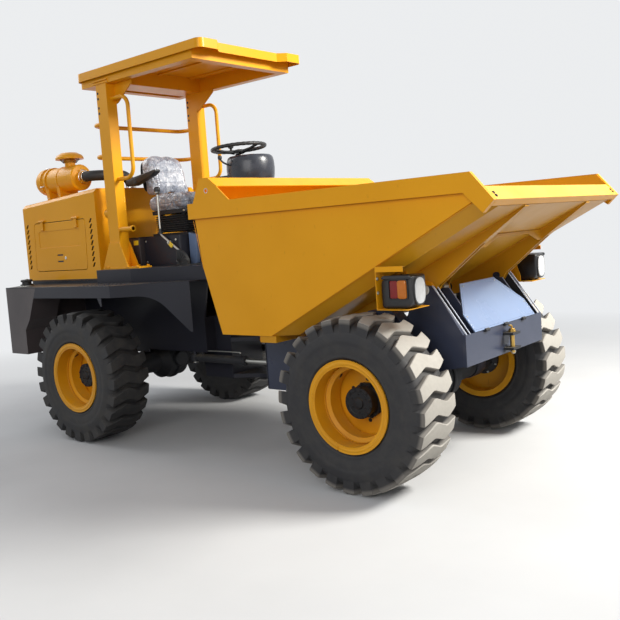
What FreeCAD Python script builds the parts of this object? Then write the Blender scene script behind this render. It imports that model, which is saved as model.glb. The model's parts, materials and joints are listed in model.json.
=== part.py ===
import FreeCAD, Part
import Sketcher
import itertools
import math
import os

from FreeCAD import Placement, Rotation, Vector

# A site dumper: articulated, tips to the front, two-post canopy over the seat.
# Millimetres, +X forward, +Y to the left, +Z up, ground at zero.
# Distances along X are measured from the middle of the wheelbase, where the body hinges,
# and row_shift moves every piece so that the whole machine's box is centred on the origin.

doc = FreeCAD.newDocument("site_dumper")
sheet = doc.addObject("Spreadsheet::Sheet", "Sizes")

SIZES = (
    # the whole machine
    ("wheel_base", 2474), ("track_half", 766), ("seat_gap", 0.3), ("plate", 6),
    # tyres and rims
    ("tyre_rad", 482.5), ("tyre_half_wide", 158), ("crown_rad", 446), ("crown_half_wide", 118),
    ("shoulder_rad", 412), ("shoulder_half_wide", 150), ("bulge_high_rad", 390), ("bulge_low_rad", 320),
    ("bulge_half_wide", 165), ("bead_half_wide", 134), ("lug_count", 24), ("lug_reach", 68),
    ("lug_foot_rad", 398),
    ("flange_rad", 256), ("flange_half_wide", 153), ("flange_thick", 12), ("bead_rad", 228),
    ("well_rad", 200), ("well_half_wide", 40), ("rim_thick", 9), ("disc_back", 72), ("disc_thick", 14),
    ("hub_rad", 62), ("hub_flange_rad", 95), ("hub_flange_thick", 22),
    # rear body
    ("tail_x", -2340), ("rear_rail_out", 270), ("rear_rail_thick", 16), ("rear_rail_low", 600),
    ("deck_top", 1155), ("deck_front_x", -800), ("deck_half_wide", 860), ("skirt_low", 1070),
    ("nose_x", -290), ("nose_half_wide", 568), ("weight_front_x", -1925), ("weight_side_x", -2160),
    ("weight_low", 620), ("weight_bulge_half", 520), ("weight_arch_x", -1732),
    ("floor_top", 1255), ("floor_front_x", -150), ("floor_front_half", 455),
    ("floor_half_wide", 580), ("floor_rear_x", -1306),
    # hinge between the bodies
    ("ear_high", 700), ("ear_low", 400), ("ear_thick", 30), ("ear_rad", 75), ("hinge_pin_rad", 32),
    ("pin_gap", 0.08), ("tongue_gap", 2),
    # hood
    ("hood_rear_x", -2325), ("hood_front_x", -1317), ("hood_half_wide", 530), ("hood_low", 1180),
    ("hood_top_rear", 1825), ("hood_top_front", 1885), ("hood_chamfer", 28), ("hood_skin", 5),
    ("door_rear_x", -2172), ("door_front_x", -1466), ("door_low", 1265), ("door_high", 1660),
    ("door_lean", 20), ("door_gap", 5), ("door_round", 30),
    ("louvre_count", 9), ("louvre_pitch", 43), ("louvre_low", 1282), ("louvre_long", 34),
    ("louvre_wide", 22),
    # canopy and posts
    ("post_rear_x", -1205), ("post_front_x", -1085), ("post_out", 505), ("post_wide", 90),
    ("post_high", 2640), ("canopy_rear_x", -1400), ("canopy_front_x", -40), ("canopy_half_wide", 535),
    ("canopy_low", 2690), ("canopy_thick", 62),
    # skip
    ("skip_half_wide", 845), ("skip_sheet", 6), ("rim_out", 872), ("rim_top", 1652), ("rim_deep", 90),
    ("rim_rear_x", 78), ("rear_top_x", 95), ("apex_x", 1992), ("lip_x", 2110), ("lip_z", 1519),
    ("lip_foot_x", 2052), ("lip_foot_z", 1462), ("bend_x", 152), ("bend_z", 1246), ("heel_x", 273),
    ("skip_low", 841),
    ("toe_x", 670), ("side_end_x", 1985), ("side_end_z", 1516), ("floor_half", 760), ("fold_x", 815),
    ("fold_end_x", 2082), ("fold_end_z", 1491), ("guard_x", 2050), ("guard_z", 1586),
    ("head_top", 1804), ("head_x", 205), ("head_foot_x", 132), ("head_hole_rad", 12),
    ("tip_x", 1500), ("tip_z", 1070), ("rib_out", 455), ("rib_thick", 12), ("tip_pin_rad", 22),
    # front body
    ("front_rail_out", 490), ("front_rail_thick", 20), ("cross_x", 1736), ("cross_low", 653),
    ("cross_high", 825), ("rail_tip_x", 1549), ("rail_tip_z", 1091),
    ("hitch_x", 1796), ("hitch_high", 775), ("hitch_low", 675), ("hitch_half_wide", 50), ("tow_pin_rad", 13),
    # cylinders
    ("tip_base_x", 940), ("tip_base_z", 575), ("tip_eye_x", 1330), ("tip_eye_z", 1035),
    ("tip_barrel_rad", 45), ("tip_rod_rad", 24),
    ("steer_base_x", -620), ("steer_base_y", 262), ("steer_eye_x", 160), ("steer_eye_y", 250),
    ("steer_z", 555), ("steer_barrel_rad", 30), ("steer_rod_rad", 17),
    # operator's place
    ("seat_rear_x", -1100), ("seat_front_x", -600), ("seat_half_wide", 240), ("cushion_low", 1675),
    ("cushion_high", 1790), ("back_high", 2135), ("back_half_wide", 205),
    ("wheel_x", -258), ("wheel_z", 2075), ("steer_wheel_rad", 195), ("grip_rad", 14), ("wheel_tilt", 3),
    ("cowl_x", -155), ("cowl_rad", 165), ("cowl_low", 1836), ("cowl_high", 2002),
)


class Size:
    """A value together with the spreadsheet expression that gives it."""

    def __init__(self, value, text):
        self.value = float(value)
        self.text = text

    def __add__(self, other):
        other = as_size(other)
        return Size(self.value + other.value, f"({self.text} + {other.text})")

    def __radd__(self, other):
        return as_size(other) + self

    def __sub__(self, other):
        other = as_size(other)
        return Size(self.value - other.value, f"({self.text} - {other.text})")

    def __rsub__(self, other):
        return as_size(other) - self

    def __mul__(self, other):
        other = as_size(other)
        return Size(self.value * other.value, f"({self.text} * {other.text})")

    def __rmul__(self, other):
        return self * other

    def __truediv__(self, other):
        other = as_size(other)
        return Size(self.value / other.value, f"({self.text} / {other.text})")

    def __rtruediv__(self, other):
        return as_size(other) / self

    def __neg__(self):
        return Size(-self.value, f"(0 - {self.text})")

    def __float__(self):
        return self.value


def as_size(value):
    """A plain number becomes a size of its own; a size stays as it is."""
    if isinstance(value, Size):
        return value
    return Size(value, repr(float(value)))


class Values:
    """The spreadsheet's cells as attributes."""


s = Values()
for row, (alias, number) in enumerate(SIZES, start=1):
    sheet.set(f"A{row}", alias)
    sheet.set(f"B{row}", str(number))
    sheet.setAlias(f"B{row}", alias)
    setattr(s, alias, Size(number, f"Sizes.{alias}"))
doc.recompute()

ROW_SHIFT = -(s.lip_x + s.tail_x) / 2


def waves(angle):
    """Cosine and sine of an angle in degrees, as sizes of their own."""
    turn = math.radians(angle.value)
    return Size(math.cos(turn), f"cos({angle.text})"), Size(math.sin(turn), f"sin({angle.text})")


# The tyre stands on the corners of the two lugs next to the lowest one.
LUG_COS, LUG_SIN = waves(360 / s.lug_count)
AXLE_Z = s.tyre_rad * LUG_COS + s.lug_reach * LUG_SIN
PIECES = []
PLANES = {"xy": "XY_Plane", "xz": "XZ_Plane", "yz": "YZ_Plane"}


def bind(target, name, size):
    """Tie one property to the spreadsheet."""
    target.setExpression(name, as_size(size).text)


def place(piece, x=0, y=0, z=0):
    """Put a finished sub-part where it belongs on the machine."""
    bind(piece, "Placement.Base.x", ROW_SHIFT + x)
    bind(piece, "Placement.Base.y", y)
    bind(piece, "Placement.Base.z", z)
    PIECES.append(piece)
    return piece


def loose_body(label):
    """Sketches and features that stay at the origin, for use in a boolean."""
    made = doc.addObject("PartDesign::Body", label)
    made.Label = label
    made.AllowCompound = True
    return made


def body(label, x=0, y=0, z=0):
    """A new sub-part made of sketches and features."""
    return place(loose_body(label), x, y, z)


def solid(label, shape, x=0, y=0, z=0, turn=None):
    """A new sub-part whose shape is worked out from the sizes directly."""
    made = doc.addObject("Part::Feature", label)
    made.Label = label
    made.Shape = shape
    if turn is not None:
        made.Placement = Placement(Vector(), turn)
    return place(made, x, y, z)


def origin_feature(piece, role):
    """One of the planes or axes through a body's own origin."""
    for feature in piece.Origin.OriginFeatures:
        if feature.Role == role:
            return feature
    raise RuntimeError(f"{piece.Label} has no {role}")


def fix_point(sketch, index, position, corner):
    """Hold one point of a sketch at two sizes from the sketch's origin."""
    for kind, size in zip(("DistanceX", "DistanceY"), corner):
        size = as_size(size)
        held = sketch.addConstraint(Sketcher.Constraint(kind, -1, 1, index, position, size.value))
        sketch.setExpression(f"Constraints[{held}]", size.text)


def fix_radius(sketch, index, size):
    size = as_size(size)
    held = sketch.addConstraint(Sketcher.Constraint("Radius", index, size.value))
    sketch.setExpression(f"Constraints[{held}]", size.text)


def sketch_circle(sketch, x, y, radius):
    centre = Vector(float(x), float(y), 0)
    circle = sketch.addGeometry(Part.Circle(centre, Vector(0, 0, 1), float(radius)), False)
    fix_point(sketch, circle, 3, (x, y))
    fix_radius(sketch, circle, radius)


def arc_ends(before, here, after, radius):
    """Where a rounding of this radius touches the two sides of a corner, and its centre."""
    first = (before - here).normalize()
    second = (after - here).normalize()
    half = first.getAngle(second) / 2
    reach = radius / math.tan(half)
    middle = (first + second).normalize()
    return here + first * reach, here + second * reach, here + middle * (radius / math.sin(half))


def sketch_loop(sketch, corners):
    """A closed outline through corners (x, y) or rounded corners (x, y, radius)."""
    points = [Vector(float(corner[0]), float(corner[1]), 0) for corner in corners]
    count = len(points)
    rounds = [corner[2] if len(corner) == 3 else None for corner in corners]
    touches = []
    for index in range(count):
        if rounds[index] is None:
            touches.append((points[index], points[index], None))
        else:
            touches.append(arc_ends(points[index - 1], points[index], points[(index + 1) % count],
                                    float(rounds[index])))
    sides = []
    for index in range(count):
        line = Part.LineSegment(touches[index][1], touches[(index + 1) % count][0])
        sides.append(sketch.addGeometry(line, False))
    for index in range(count):
        behind = sides[index - 1]
        ahead = sides[index]
        if rounds[index] is None:
            sketch.addConstraint(Sketcher.Constraint("Coincident", behind, 2, ahead, 1))
            fix_point(sketch, ahead, 1, corners[index][:2])
            continue
        start, stop, centre = touches[index]
        first = math.atan2(start.y - centre.y, start.x - centre.x)
        last = math.atan2(stop.y - centre.y, stop.x - centre.x)
        turn = (points[index] - points[index - 1]).cross(points[(index + 1) % count] - points[index]).z
        if turn < 0:
            first, last = last, first
        circle = Part.Circle(centre, Vector(0, 0, 1), float(rounds[index]))
        arc = sketch.addGeometry(Part.ArcOfCircle(circle, first, last), False)
        near, far = (1, 2) if turn >= 0 else (2, 1)
        corner = sketch.addGeometry(Part.Point(points[index]), True)
        fix_point(sketch, corner, 1, corners[index][:2])
        sketch.addConstraint(Sketcher.Constraint("PointOnObject", corner, 1, behind))
        sketch.addConstraint(Sketcher.Constraint("PointOnObject", corner, 1, ahead))
        sketch.addConstraint(Sketcher.Constraint("Tangent", behind, 2, arc, near))
        sketch.addConstraint(Sketcher.Constraint("Tangent", arc, far, ahead, 1))
        fix_radius(sketch, arc, rounds[index])


def sketch_on(piece, plane, offset, loops):
    """A sketch on one of the piece's own planes; a loop of three sizes in a tuple is a circle."""
    sketch = piece.newObject("Sketcher::SketchObject", f"{piece.Name}_outline")
    sketch.AttachmentSupport = [(origin_feature(piece, PLANES[plane]), "")]
    sketch.MapMode = "FlatFace"
    bind(sketch, "AttachmentOffset.Base.z", offset)
    for loop in loops:
        if isinstance(loop, tuple):
            sketch_circle(sketch, *loop)
        else:
            sketch_loop(sketch, loop)
    return sketch


def pad(piece, plane, start, stop, *loops):
    """Material between two distances along the plane's axis."""
    offset = -stop if plane == "xz" else start
    feature = piece.newObject("PartDesign::Pad", f"{piece.Name}_pad")
    feature.Profile = sketch_on(piece, plane, offset, loops)
    bind(feature, "Length", stop - start)
    piece.Tip = feature
    return feature


def pocket(piece, plane, start, stop, *loops):
    """A cut between two distances along the plane's axis."""
    offset = -start if plane == "xz" else stop
    feature = piece.newObject("PartDesign::Pocket", f"{piece.Name}_cut")
    feature.Profile = sketch_on(piece, plane, offset, loops)
    bind(feature, "Length", stop - start)
    piece.Tip = feature
    return feature


def spin(piece, plane, axis, *loops):
    """Material turned all the way round the sketch's own H_Axis or V_Axis."""
    feature = piece.newObject("PartDesign::Revolution", f"{piece.Name}_turned")
    sketch = sketch_on(piece, plane, as_size(0), loops)
    feature.Profile = sketch
    feature.ReferenceAxis = (sketch, [axis])
    feature.Angle = 360
    piece.Tip = feature
    return feature


def box_loop(x1, x2, y1, y2, rounding=None):
    """A rectangle's four corners, rounded if a radius is given."""
    corners = [(x1, y1), (x2, y1), (x2, y2), (x1, y2)]
    if rounding is None:
        return corners
    return [corner + (rounding,) for corner in corners]


def both(piece, plane, inner, outer, *loops):
    """Two like pads, one on each side of the machine's middle plane."""
    pad(piece, plane, inner, outer, *loops)
    pad(piece, plane, -outer, -inner, *loops)


def both_cut(piece, plane, inner, outer, *loops):
    pocket(piece, plane, inner, outer, *loops)
    pocket(piece, plane, -outer, -inner, *loops)


def point(x, y, z):
    return Vector(float(x), float(y), float(z))


def convex(planes):
    """The closed solid behind all these planes, each a point on it and its outward normal."""
    on_plane = [[] for plane in planes]
    for trio in itertools.combinations(range(len(planes)), 3):
        (p1, n1), (p2, n2), (p3, n3) = [planes[index] for index in trio]
        spread = n1.dot(n2.cross(n3))
        if abs(spread) < 1e-9:
            continue
        corner = (n2.cross(n3) * n1.dot(p1) + n3.cross(n1) * n2.dot(p2) + n1.cross(n2) * n3.dot(p3)) / spread
        if all(normal.dot(corner - place) < 1e-5 for place, normal in planes):
            for index in trio:
                if all((corner - other).Length > 1e-4 for other in on_plane[index]):
                    on_plane[index].append(corner)
    faces = []
    for (place, normal), corners in zip(planes, on_plane):
        if len(corners) < 3:
            continue
        middle = sum(corners, Vector()) / len(corners)
        across = (corners[0] - middle).normalize()
        along = normal.cross(across)
        corners.sort(key=lambda one: math.atan2((one - middle).dot(along), (one - middle).dot(across)))
        faces.append(Part.Face(Part.makePolygon(corners + corners[:1])))
    return Part.makeSolid(Part.makeShell(faces))


def moved_out(planes, distance):
    return [(place + normal * float(distance), normal) for place, normal in planes]


def rod(start, stop, radius):
    """A round bar between two points."""
    start = point(*start)
    stop = point(*stop)
    return Part.makeCylinder(float(radius), (stop - start).Length, start, stop - start)


def swept(points, bend, radius):
    """A round bar along straight runs joined by tangent arcs."""
    corners = [point(*corner) for corner in points]
    edges = []
    last = corners[0]
    for index in range(1, len(corners) - 1):
        start, stop, centre = arc_ends(corners[index - 1], corners[index], corners[index + 1], float(bend))
        middle = centre + (corners[index] - centre).normalize() * float(bend)
        edges.append(Part.LineSegment(last, start).toShape())
        edges.append(Part.Arc(start, middle, stop).toShape())
        last = stop
    edges.append(Part.LineSegment(last, corners[-1]).toShape())
    path = Part.Wire(edges)
    ring = Part.Wire([Part.Circle(corners[0], corners[1] - corners[0], float(radius)).toShape()])
    return path.makePipeShell([ring], True, True)


def fused(shapes):
    return shapes[0].multiFuse(shapes[1:]).removeSplitter()


# Wheels: four bodies of a tyre and a rim, each about its own centre.

# Stations across a lug: share of the half width, then of its reach, for its two wavy edges.
LUG_WAVE = ((-1, 0.18, -1), (-0.24, 1, -0.29), (0.46, 0.38, -0.84), (1, 0.82, -0.24))


def make_tyre(label, x, y, side):
    tyre = body(label, x, y, AXLE_Z)
    rim_clearance = 4
    half = [
        (s.bead_half_wide, s.bead_rad + s.seat_gap), (s.bead_half_wide, s.flange_rad + rim_clearance),
        (s.bulge_half_wide, s.bulge_low_rad), (s.bulge_half_wide, s.bulge_high_rad),
        (s.shoulder_half_wide, s.shoulder_rad), (s.crown_half_wide, s.crown_rad)]
    spin(tyre, "yz", "H_Axis", half + [(-across, radius) for across, radius in reversed(half)])
    one_edge = [(side * s.lug_reach * ahead, -side * s.tyre_half_wide * across)
                for across, ahead, behind in LUG_WAVE]
    other_edge = [(side * s.lug_reach * behind, -side * s.tyre_half_wide * across)
                  for across, ahead, behind in reversed(LUG_WAVE)]
    lug = pad(tyre, "xy", s.lug_foot_rad, s.tyre_rad, one_edge + other_edge)
    ring = tyre.newObject("PartDesign::PolarPattern", f"{label}_lugs")
    ring.Originals = [lug]
    ring.Axis = (origin_feature(tyre, "Y_Axis"), [""])
    ring.Angle = 360
    bind(ring, "Occurrences", s.lug_count)
    tyre.Tip = ring


def make_rim(label, x, y, side):
    rim = body(label, x, y, AXLE_Z)
    inside = s.bead_rad - s.rim_thick
    well_inside = s.well_rad - s.rim_thick
    disc_front = s.disc_thick - s.disc_back
    slope = 12
    well_inner_half = s.well_half_wide + s.rim_thick / 2
    section = [
        (s.flange_half_wide, s.flange_rad), (s.flange_half_wide - s.flange_thick, s.flange_rad),
        (s.flange_half_wide - s.flange_thick, s.bead_rad), (s.well_half_wide + slope, s.bead_rad),
        (s.well_half_wide, s.well_rad), (-s.well_half_wide, s.well_rad),
        (-s.well_half_wide - slope, s.bead_rad), (s.flange_thick - s.flange_half_wide, s.bead_rad),
        (s.flange_thick - s.flange_half_wide, s.flange_rad), (-s.flange_half_wide, s.flange_rad),
        (-s.flange_half_wide, inside), (-s.disc_back, inside), (-s.disc_back, 0), (0, 0),
        (0, s.hub_rad - 8), (-8, s.hub_rad), (disc_front + s.hub_flange_thick, s.hub_rad),
        (disc_front + s.hub_flange_thick, s.hub_flange_rad), (disc_front, s.hub_flange_rad),
        (disc_front, inside), (-well_inner_half - slope, inside), (-well_inner_half, well_inside),
        (well_inner_half, well_inside), (well_inner_half + slope, inside), (s.flange_half_wide, inside)]
    spin(rim, "yz", "H_Axis", [(side * corner[0], corner[1]) for corner in section])


for end, along in (("front", 1), ("rear", -1)):
    for hand, side in (("right", -1), ("left", 1)):
        centre_x = along * s.wheel_base / 2
        centre_y = side * s.track_half
        make_tyre(f"tyre_{end}_{hand}", centre_x, centre_y, side)
        make_rim(f"rim_{end}_{hand}", centre_x, centre_y, side)


# Axles: a housing with a round differential, its ends just clear of the wheel discs.

def make_axle(label, x):
    axle = body(label, x, 0, AXLE_Z)
    end = s.track_half - s.disc_back - 0.5
    half = [(0, 0), (0, 150), (90, 150), (150, 95), (end - 120, 80), (end - 40, 80), (end - 20, 110),
            (end, 110), (end, 0)]
    spin(axle, "yz", "H_Axis", half)
    spin(axle, "yz", "H_Axis", [(-corner[0], corner[1]) for corner in half])


make_axle("front_axle", s.wheel_base / 2)
make_axle("rear_axle", -s.wheel_base / 2)


# Rear body: side rails, cross plates and the ears of the hinge.

rear_frame = body("rear_frame")
rail_in = s.rear_rail_out - s.rear_rail_thick
deck_under = s.deck_top - s.plate
rail_rear_x = s.weight_front_x + s.seat_gap
nose_rear_x = -480
nose_front_x = -330
nose_high = 860
nose_half = 166
both(rear_frame, "xz", rail_in, s.rear_rail_out, [
    (rail_rear_x, s.rear_rail_low), (nose_rear_x, s.rear_rail_low), (nose_rear_x, nose_high),
    (nose_rear_x + 60, deck_under - s.seat_gap), (rail_rear_x, deck_under - s.seat_gap)])
both(rear_frame, "xz", nose_half - s.rear_rail_thick, nose_half, [
    (nose_rear_x - 140, s.ear_low), (nose_front_x, s.ear_low), (nose_front_x, nose_high),
    (nose_rear_x - 140, nose_high)])
pad(rear_frame, "yz", nose_rear_x - s.rear_rail_thick, nose_rear_x,
    box_loop(-s.rear_rail_out, s.rear_rail_out, s.rear_rail_low, nose_high))
pad(rear_frame, "yz", nose_front_x - s.rear_rail_thick, nose_front_x,
    box_loop(-nose_half, nose_half, s.ear_low, nose_high))
pad(rear_frame, "yz", rail_rear_x, rail_rear_x + s.rear_rail_thick,
    box_loop(-rail_in, rail_in, s.rear_rail_low + 40, deck_under - 60))
ear_plan = [(nose_front_x - 1, -nose_half), (-150, -s.ear_rad, 60), (s.ear_rad, -s.ear_rad, 60),
            (s.ear_rad, s.ear_rad, 60), (-150, s.ear_rad, 60), (nose_front_x - 1, nose_half)]
ear_hole = (0, 0, s.hinge_pin_rad + s.pin_gap)
pad(rear_frame, "xy", s.ear_low, s.ear_low + s.ear_thick, ear_plan, ear_hole)
pad(rear_frame, "xy", s.ear_high - s.ear_thick, s.ear_high, ear_plan, ear_hole)
axle_seat = AXLE_Z + 92
both(rear_frame, "xz", rail_in, s.rear_rail_out, [
    (-s.wheel_base / 2 - 90, axle_seat), (-s.wheel_base / 2 + 90, axle_seat),
    (-s.wheel_base / 2 + 90, s.rear_rail_low + 1), (-s.wheel_base / 2 - 90, s.rear_rail_low + 1)])
for side in (-1, 1):
    pin_y = side * s.steer_base_y
    pad(rear_frame, "xy", s.steer_z - 45, s.rear_rail_low + 1, (s.steer_base_x, pin_y, 14))

ENGINE_FRONT = -1375
engine_half = 210
for start in (-1880, -1480):
    both(rear_frame, "xz", engine_half + s.seat_gap, rail_in + 1, box_loop(start, start + 60, 760, 800))

pin = body("articulation_pin")
pad(pin, "xy", s.ear_low - 12, s.ear_high + s.seat_gap, (0, 0, s.hinge_pin_rad))
pad(pin, "xy", s.ear_high + s.seat_gap, s.ear_high + 16, (0, 0, s.hinge_pin_rad + 22))

# Fenders and deck in one welded piece: top plate, skirts that taper inwards to the hinge.

rear_fenders = body("rear_fenders")
deck_plan = [(s.weight_side_x, -s.deck_half_wide), (s.deck_front_x, -s.deck_half_wide),
             (s.nose_x, -s.nose_half_wide), (s.nose_x, s.nose_half_wide),
             (s.deck_front_x, s.deck_half_wide), (s.weight_side_x, s.deck_half_wide),
             (s.tail_x, s.weight_bulge_half), (s.tail_x, -s.weight_bulge_half)]
bay_half = rail_in - 4
pad(rear_fenders, "xy", deck_under, s.deck_top, deck_plan,
    box_loop(s.weight_front_x + 15, s.hood_front_x - 23, -bay_half, bay_half))
base_in = 16
base_outer = box_loop(s.hood_rear_x + base_in, s.hood_front_x - base_in, base_in - s.hood_half_wide,
                      s.hood_half_wide - base_in)
base_inner = box_loop(s.hood_rear_x + base_in + 30, s.hood_front_x - base_in - 30,
                      base_in + 30 - s.hood_half_wide, s.hood_half_wide - base_in - 30)
pad(rear_fenders, "xy", s.deck_top, s.hood_low - s.seat_gap, base_outer, base_inner)
arch_lean = 40
skirt_rear_x = s.weight_arch_x + s.seat_gap
both(rear_fenders, "xz", s.deck_half_wide - s.plate, s.deck_half_wide, [
    (skirt_rear_x - arch_lean, s.skirt_low), (s.deck_front_x, s.skirt_low), (s.deck_front_x, s.deck_top),
    (skirt_rear_x, s.deck_top), (skirt_rear_x, deck_under)])
skirt_foot = 805
for side in (-1, 1):
    strip = [(s.deck_front_x, side * s.deck_half_wide), (s.nose_x, side * s.nose_half_wide),
             (s.nose_x - s.plate, side * (s.nose_half_wide - s.plate)),
             (s.deck_front_x - s.plate, side * (s.deck_half_wide - s.plate))]
    pad(rear_fenders, "xy", skirt_foot, deck_under + 1, strip)
arch_rad = 230
arch = [(s.deck_front_x - 60, skirt_foot - 1), (s.nose_x - 16, skirt_foot - 1),
        (s.nose_x - arch_rad, s.skirt_low, arch_rad), (s.deck_front_x - 60, s.skirt_low)]
both_cut(rear_fenders, "xz", s.nose_half_wide - 40, s.deck_half_wide + 1, arch)

counterweight = body("counterweight")
pad(counterweight, "xy", s.weight_low, deck_under - s.seat_gap, [
    (s.weight_front_x, -s.deck_half_wide), (s.weight_side_x, -s.deck_half_wide),
    (s.tail_x, -s.weight_bulge_half), (s.tail_x, s.weight_bulge_half),
    (s.weight_side_x, s.deck_half_wide), (s.weight_front_x, s.deck_half_wide)])
both(counterweight, "xz", s.nose_half_wide + 40, s.deck_half_wide, [
    (s.weight_front_x - 1, 817), (s.weight_front_x, 817), (s.weight_front_x + 70, 899),
    (s.weight_arch_x - arch_lean, s.skirt_low), (s.weight_arch_x, deck_under - s.seat_gap),
    (s.weight_front_x - 1, deck_under - s.seat_gap)])
gap = s.seat_gap
lamp_deep = 30
lamp_in = 330
lamp_out = 470
lamp_low = 960
lamp_high = 1050
pocket(counterweight, "yz", s.tail_x - 1, s.tail_x + lamp_deep,
       box_loop(lamp_in, lamp_out, lamp_low, lamp_high), box_loop(-lamp_out, -lamp_in, lamp_low, lamp_high))

rear_lamps = body("rear_lamps")
pad(rear_lamps, "yz", s.tail_x, s.tail_x + lamp_deep - gap,
    box_loop(lamp_in + gap, lamp_out - gap, lamp_low + gap, lamp_high - gap),
    box_loop(gap - lamp_out, -lamp_in - gap, lamp_low + gap, lamp_high - gap))

filler_cap = body("filler_cap", -2100, -700, s.deck_top + gap)
spin(filler_cap, "xz", "V_Axis", [
    (0, 0), (52, 0), (52, 16), (38, 20), (38, 34), (44, 38), (44, 52), (0, 58)])

engine_block = body("engine_block")
pad(engine_block, "xz", -engine_half, engine_half, [
    (-1900, 700), (ENGINE_FRONT, 700), (ENGINE_FRONT, 1500), (-1500, 1640), (-1900, 1640)])

gearbox = body("gearbox")
pad(gearbox, "xz", -150, 150, [
    (gap + ENGINE_FRONT, 760), (-1010, 760), (-900, 640), (-640, 640), (-640, 800), (-1000, 1000),
    (gap + ENGINE_FRONT, 1060)])

# Hood: a folded shell with chamfered long edges, louvre slots and an opening on each side.


def hood_section(inset, foot, high):
    half = s.hood_half_wide - inset
    top = high - inset
    fold = s.hood_chamfer - inset * 0.4
    return [(-half, foot), (half, foot), (half, top - fold), (half - fold, top), (fold - half, top),
            (-half, top - fold)]


def loft(piece, kind, sections):
    """A skin through outlines at two distances along X."""
    sketches = [sketch_on(piece, "yz", offset, [loop]) for offset, loop in sections]
    feature = piece.newObject(f"PartDesign::{kind}Loft", f"{piece.Name}_loft")
    feature.Profile = sketches[0]
    feature.Sections = sketches[1:]
    feature.Ruled = True
    piece.Tip = feature
    return feature


hood = body("hood")
loft(hood, "Additive", [(s.hood_rear_x, hood_section(0, s.hood_low, s.hood_top_rear)),
                        (s.hood_front_x, hood_section(0, s.hood_low, s.hood_top_front))])
loft(hood, "Subtractive", [
    (s.hood_rear_x + s.hood_skin, hood_section(s.hood_skin, s.hood_low - 1, s.hood_top_rear)),
    (s.hood_front_x - s.hood_skin, hood_section(s.hood_skin, s.hood_low - 1, s.hood_top_front))])
pad(hood, "xy", s.hood_low, s.hood_low + s.hood_skin,
    box_loop(s.hood_rear_x, s.hood_front_x, -s.hood_half_wide, s.hood_half_wide),
    box_loop(s.hood_rear_x + 40, s.hood_front_x - 40, 40 - s.hood_half_wide, s.hood_half_wide - 40))


def hood_top(x):
    """Height of the hood's sloping top at a place along the machine."""
    rise = (s.hood_top_front - s.hood_top_rear) / (s.hood_front_x - s.hood_rear_x)
    return s.hood_top_rear + rise * (x - s.hood_rear_x)


hose_x = s.hood_front_x - 243
hose_y = 40
collar_rad = 54
collar_high = hood_top(hose_x) + 12
pad(hood, "xy", collar_high - 20, collar_high, (hose_x, hose_y, collar_rad))


def door_outline(clearance, rounding):
    """The door leans like the louvres beside it: its foot lies further to the rear."""
    rear = s.door_rear_x - clearance
    front = s.door_front_x + clearance
    low = s.door_low - clearance
    high = s.door_high + clearance
    return [(rear - s.door_lean, low, rounding), (front - s.door_lean, low, rounding),
            (front, high, rounding), (rear, high, rounding)]


slots = []
for column in (s.hood_rear_x + 37, s.hood_front_x - 89):
    for step in range(int(s.louvre_count.value)):
        foot = s.louvre_low + step * s.louvre_pitch
        slots.append([(column - s.louvre_wide / 2, foot), (column + s.louvre_wide / 2, foot),
                      (column + s.louvre_wide * 1.5, foot + s.louvre_long),
                      (column + s.louvre_wide / 2, foot + s.louvre_long)])
pocket(hood, "xz", -s.hood_half_wide - 1, s.hood_half_wide + 1,
       door_outline(s.door_gap, s.door_round), *slots)
grille_half = 400
grille_low = 1250
grille_high = 1740
pocket(hood, "yz", s.hood_rear_x - 1, s.hood_rear_x + s.hood_skin + 1,
       box_loop(-grille_half, grille_half, grille_low, grille_high))

hinge_y = s.hood_half_wide + 9
hinge_z = s.door_high + s.door_gap + 12
knuckle_rad = 8
hinge_pin = 4
latch_half = 42
for side in (-1, 1):
    ring = (side * hinge_y, hinge_z, knuckle_rad)
    for start in (s.door_rear_x + 80, s.door_front_x - 160):
        leaf_y = [side * (hinge_y - 2), side * (s.hood_half_wide - 2)]
        for low in (start, start + 62):
            pad(hood, "yz", low, low + 20, ring)
            pad(hood, "yz", low, low + 20, box_loop(*sorted(leaf_y, key=float), hinge_z, hinge_z + 7))
        pad(hood, "yz", start, start + 82, (side * hinge_y, hinge_z, hinge_pin))

for hand, side in (("right", -1), ("left", 1)):
    door = body(f"hood_door_{hand}")
    outer = side * s.hood_half_wide
    inner = side * (s.hood_half_wide - s.hood_skin)
    low, high = sorted((outer, inner), key=float)
    pad(door, "xz", low, high, door_outline(0, s.door_round - s.door_gap))
    for start in (s.door_rear_x + 80, s.door_front_x - 160):
        leaf_low, leaf_high = sorted((side * (hinge_y + 2), outer), key=float)
        pad(door, "yz", start + 21, start + 61, (side * hinge_y, hinge_z, knuckle_rad))
        pad(door, "yz", start + 21, start + 61,
            box_loop(leaf_low, leaf_high, s.door_high - 60, s.door_high - 52))
        face_low, face_high = sorted((side * (hinge_y + 2), side * (hinge_y - 3)), key=float)
        pad(door, "yz", start + 21, start + 61, box_loop(face_low, face_high, s.door_high - 56, hinge_z))
        pocket(door, "yz", start + 20, start + 62, (side * hinge_y, hinge_z, hinge_pin + 0.1))
    panel_low, panel_high = sorted((outer, side * (s.hood_half_wide - 3)), key=float)
    pocket(door, "xz", panel_low, panel_high, box_loop(
        s.door_rear_x + 51, s.door_front_x - 83, s.door_high - 205, s.door_high - 68, 25))
    latch_x = (s.door_rear_x + s.door_front_x) / 2 - 21
    for slot_z in (s.door_low + 73, s.door_low + 125):
        pocket(door, "xz", low - 1, high + 1,
               box_loop(latch_x - latch_half, latch_x + latch_half, slot_z - 6, slot_z + 6))

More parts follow.
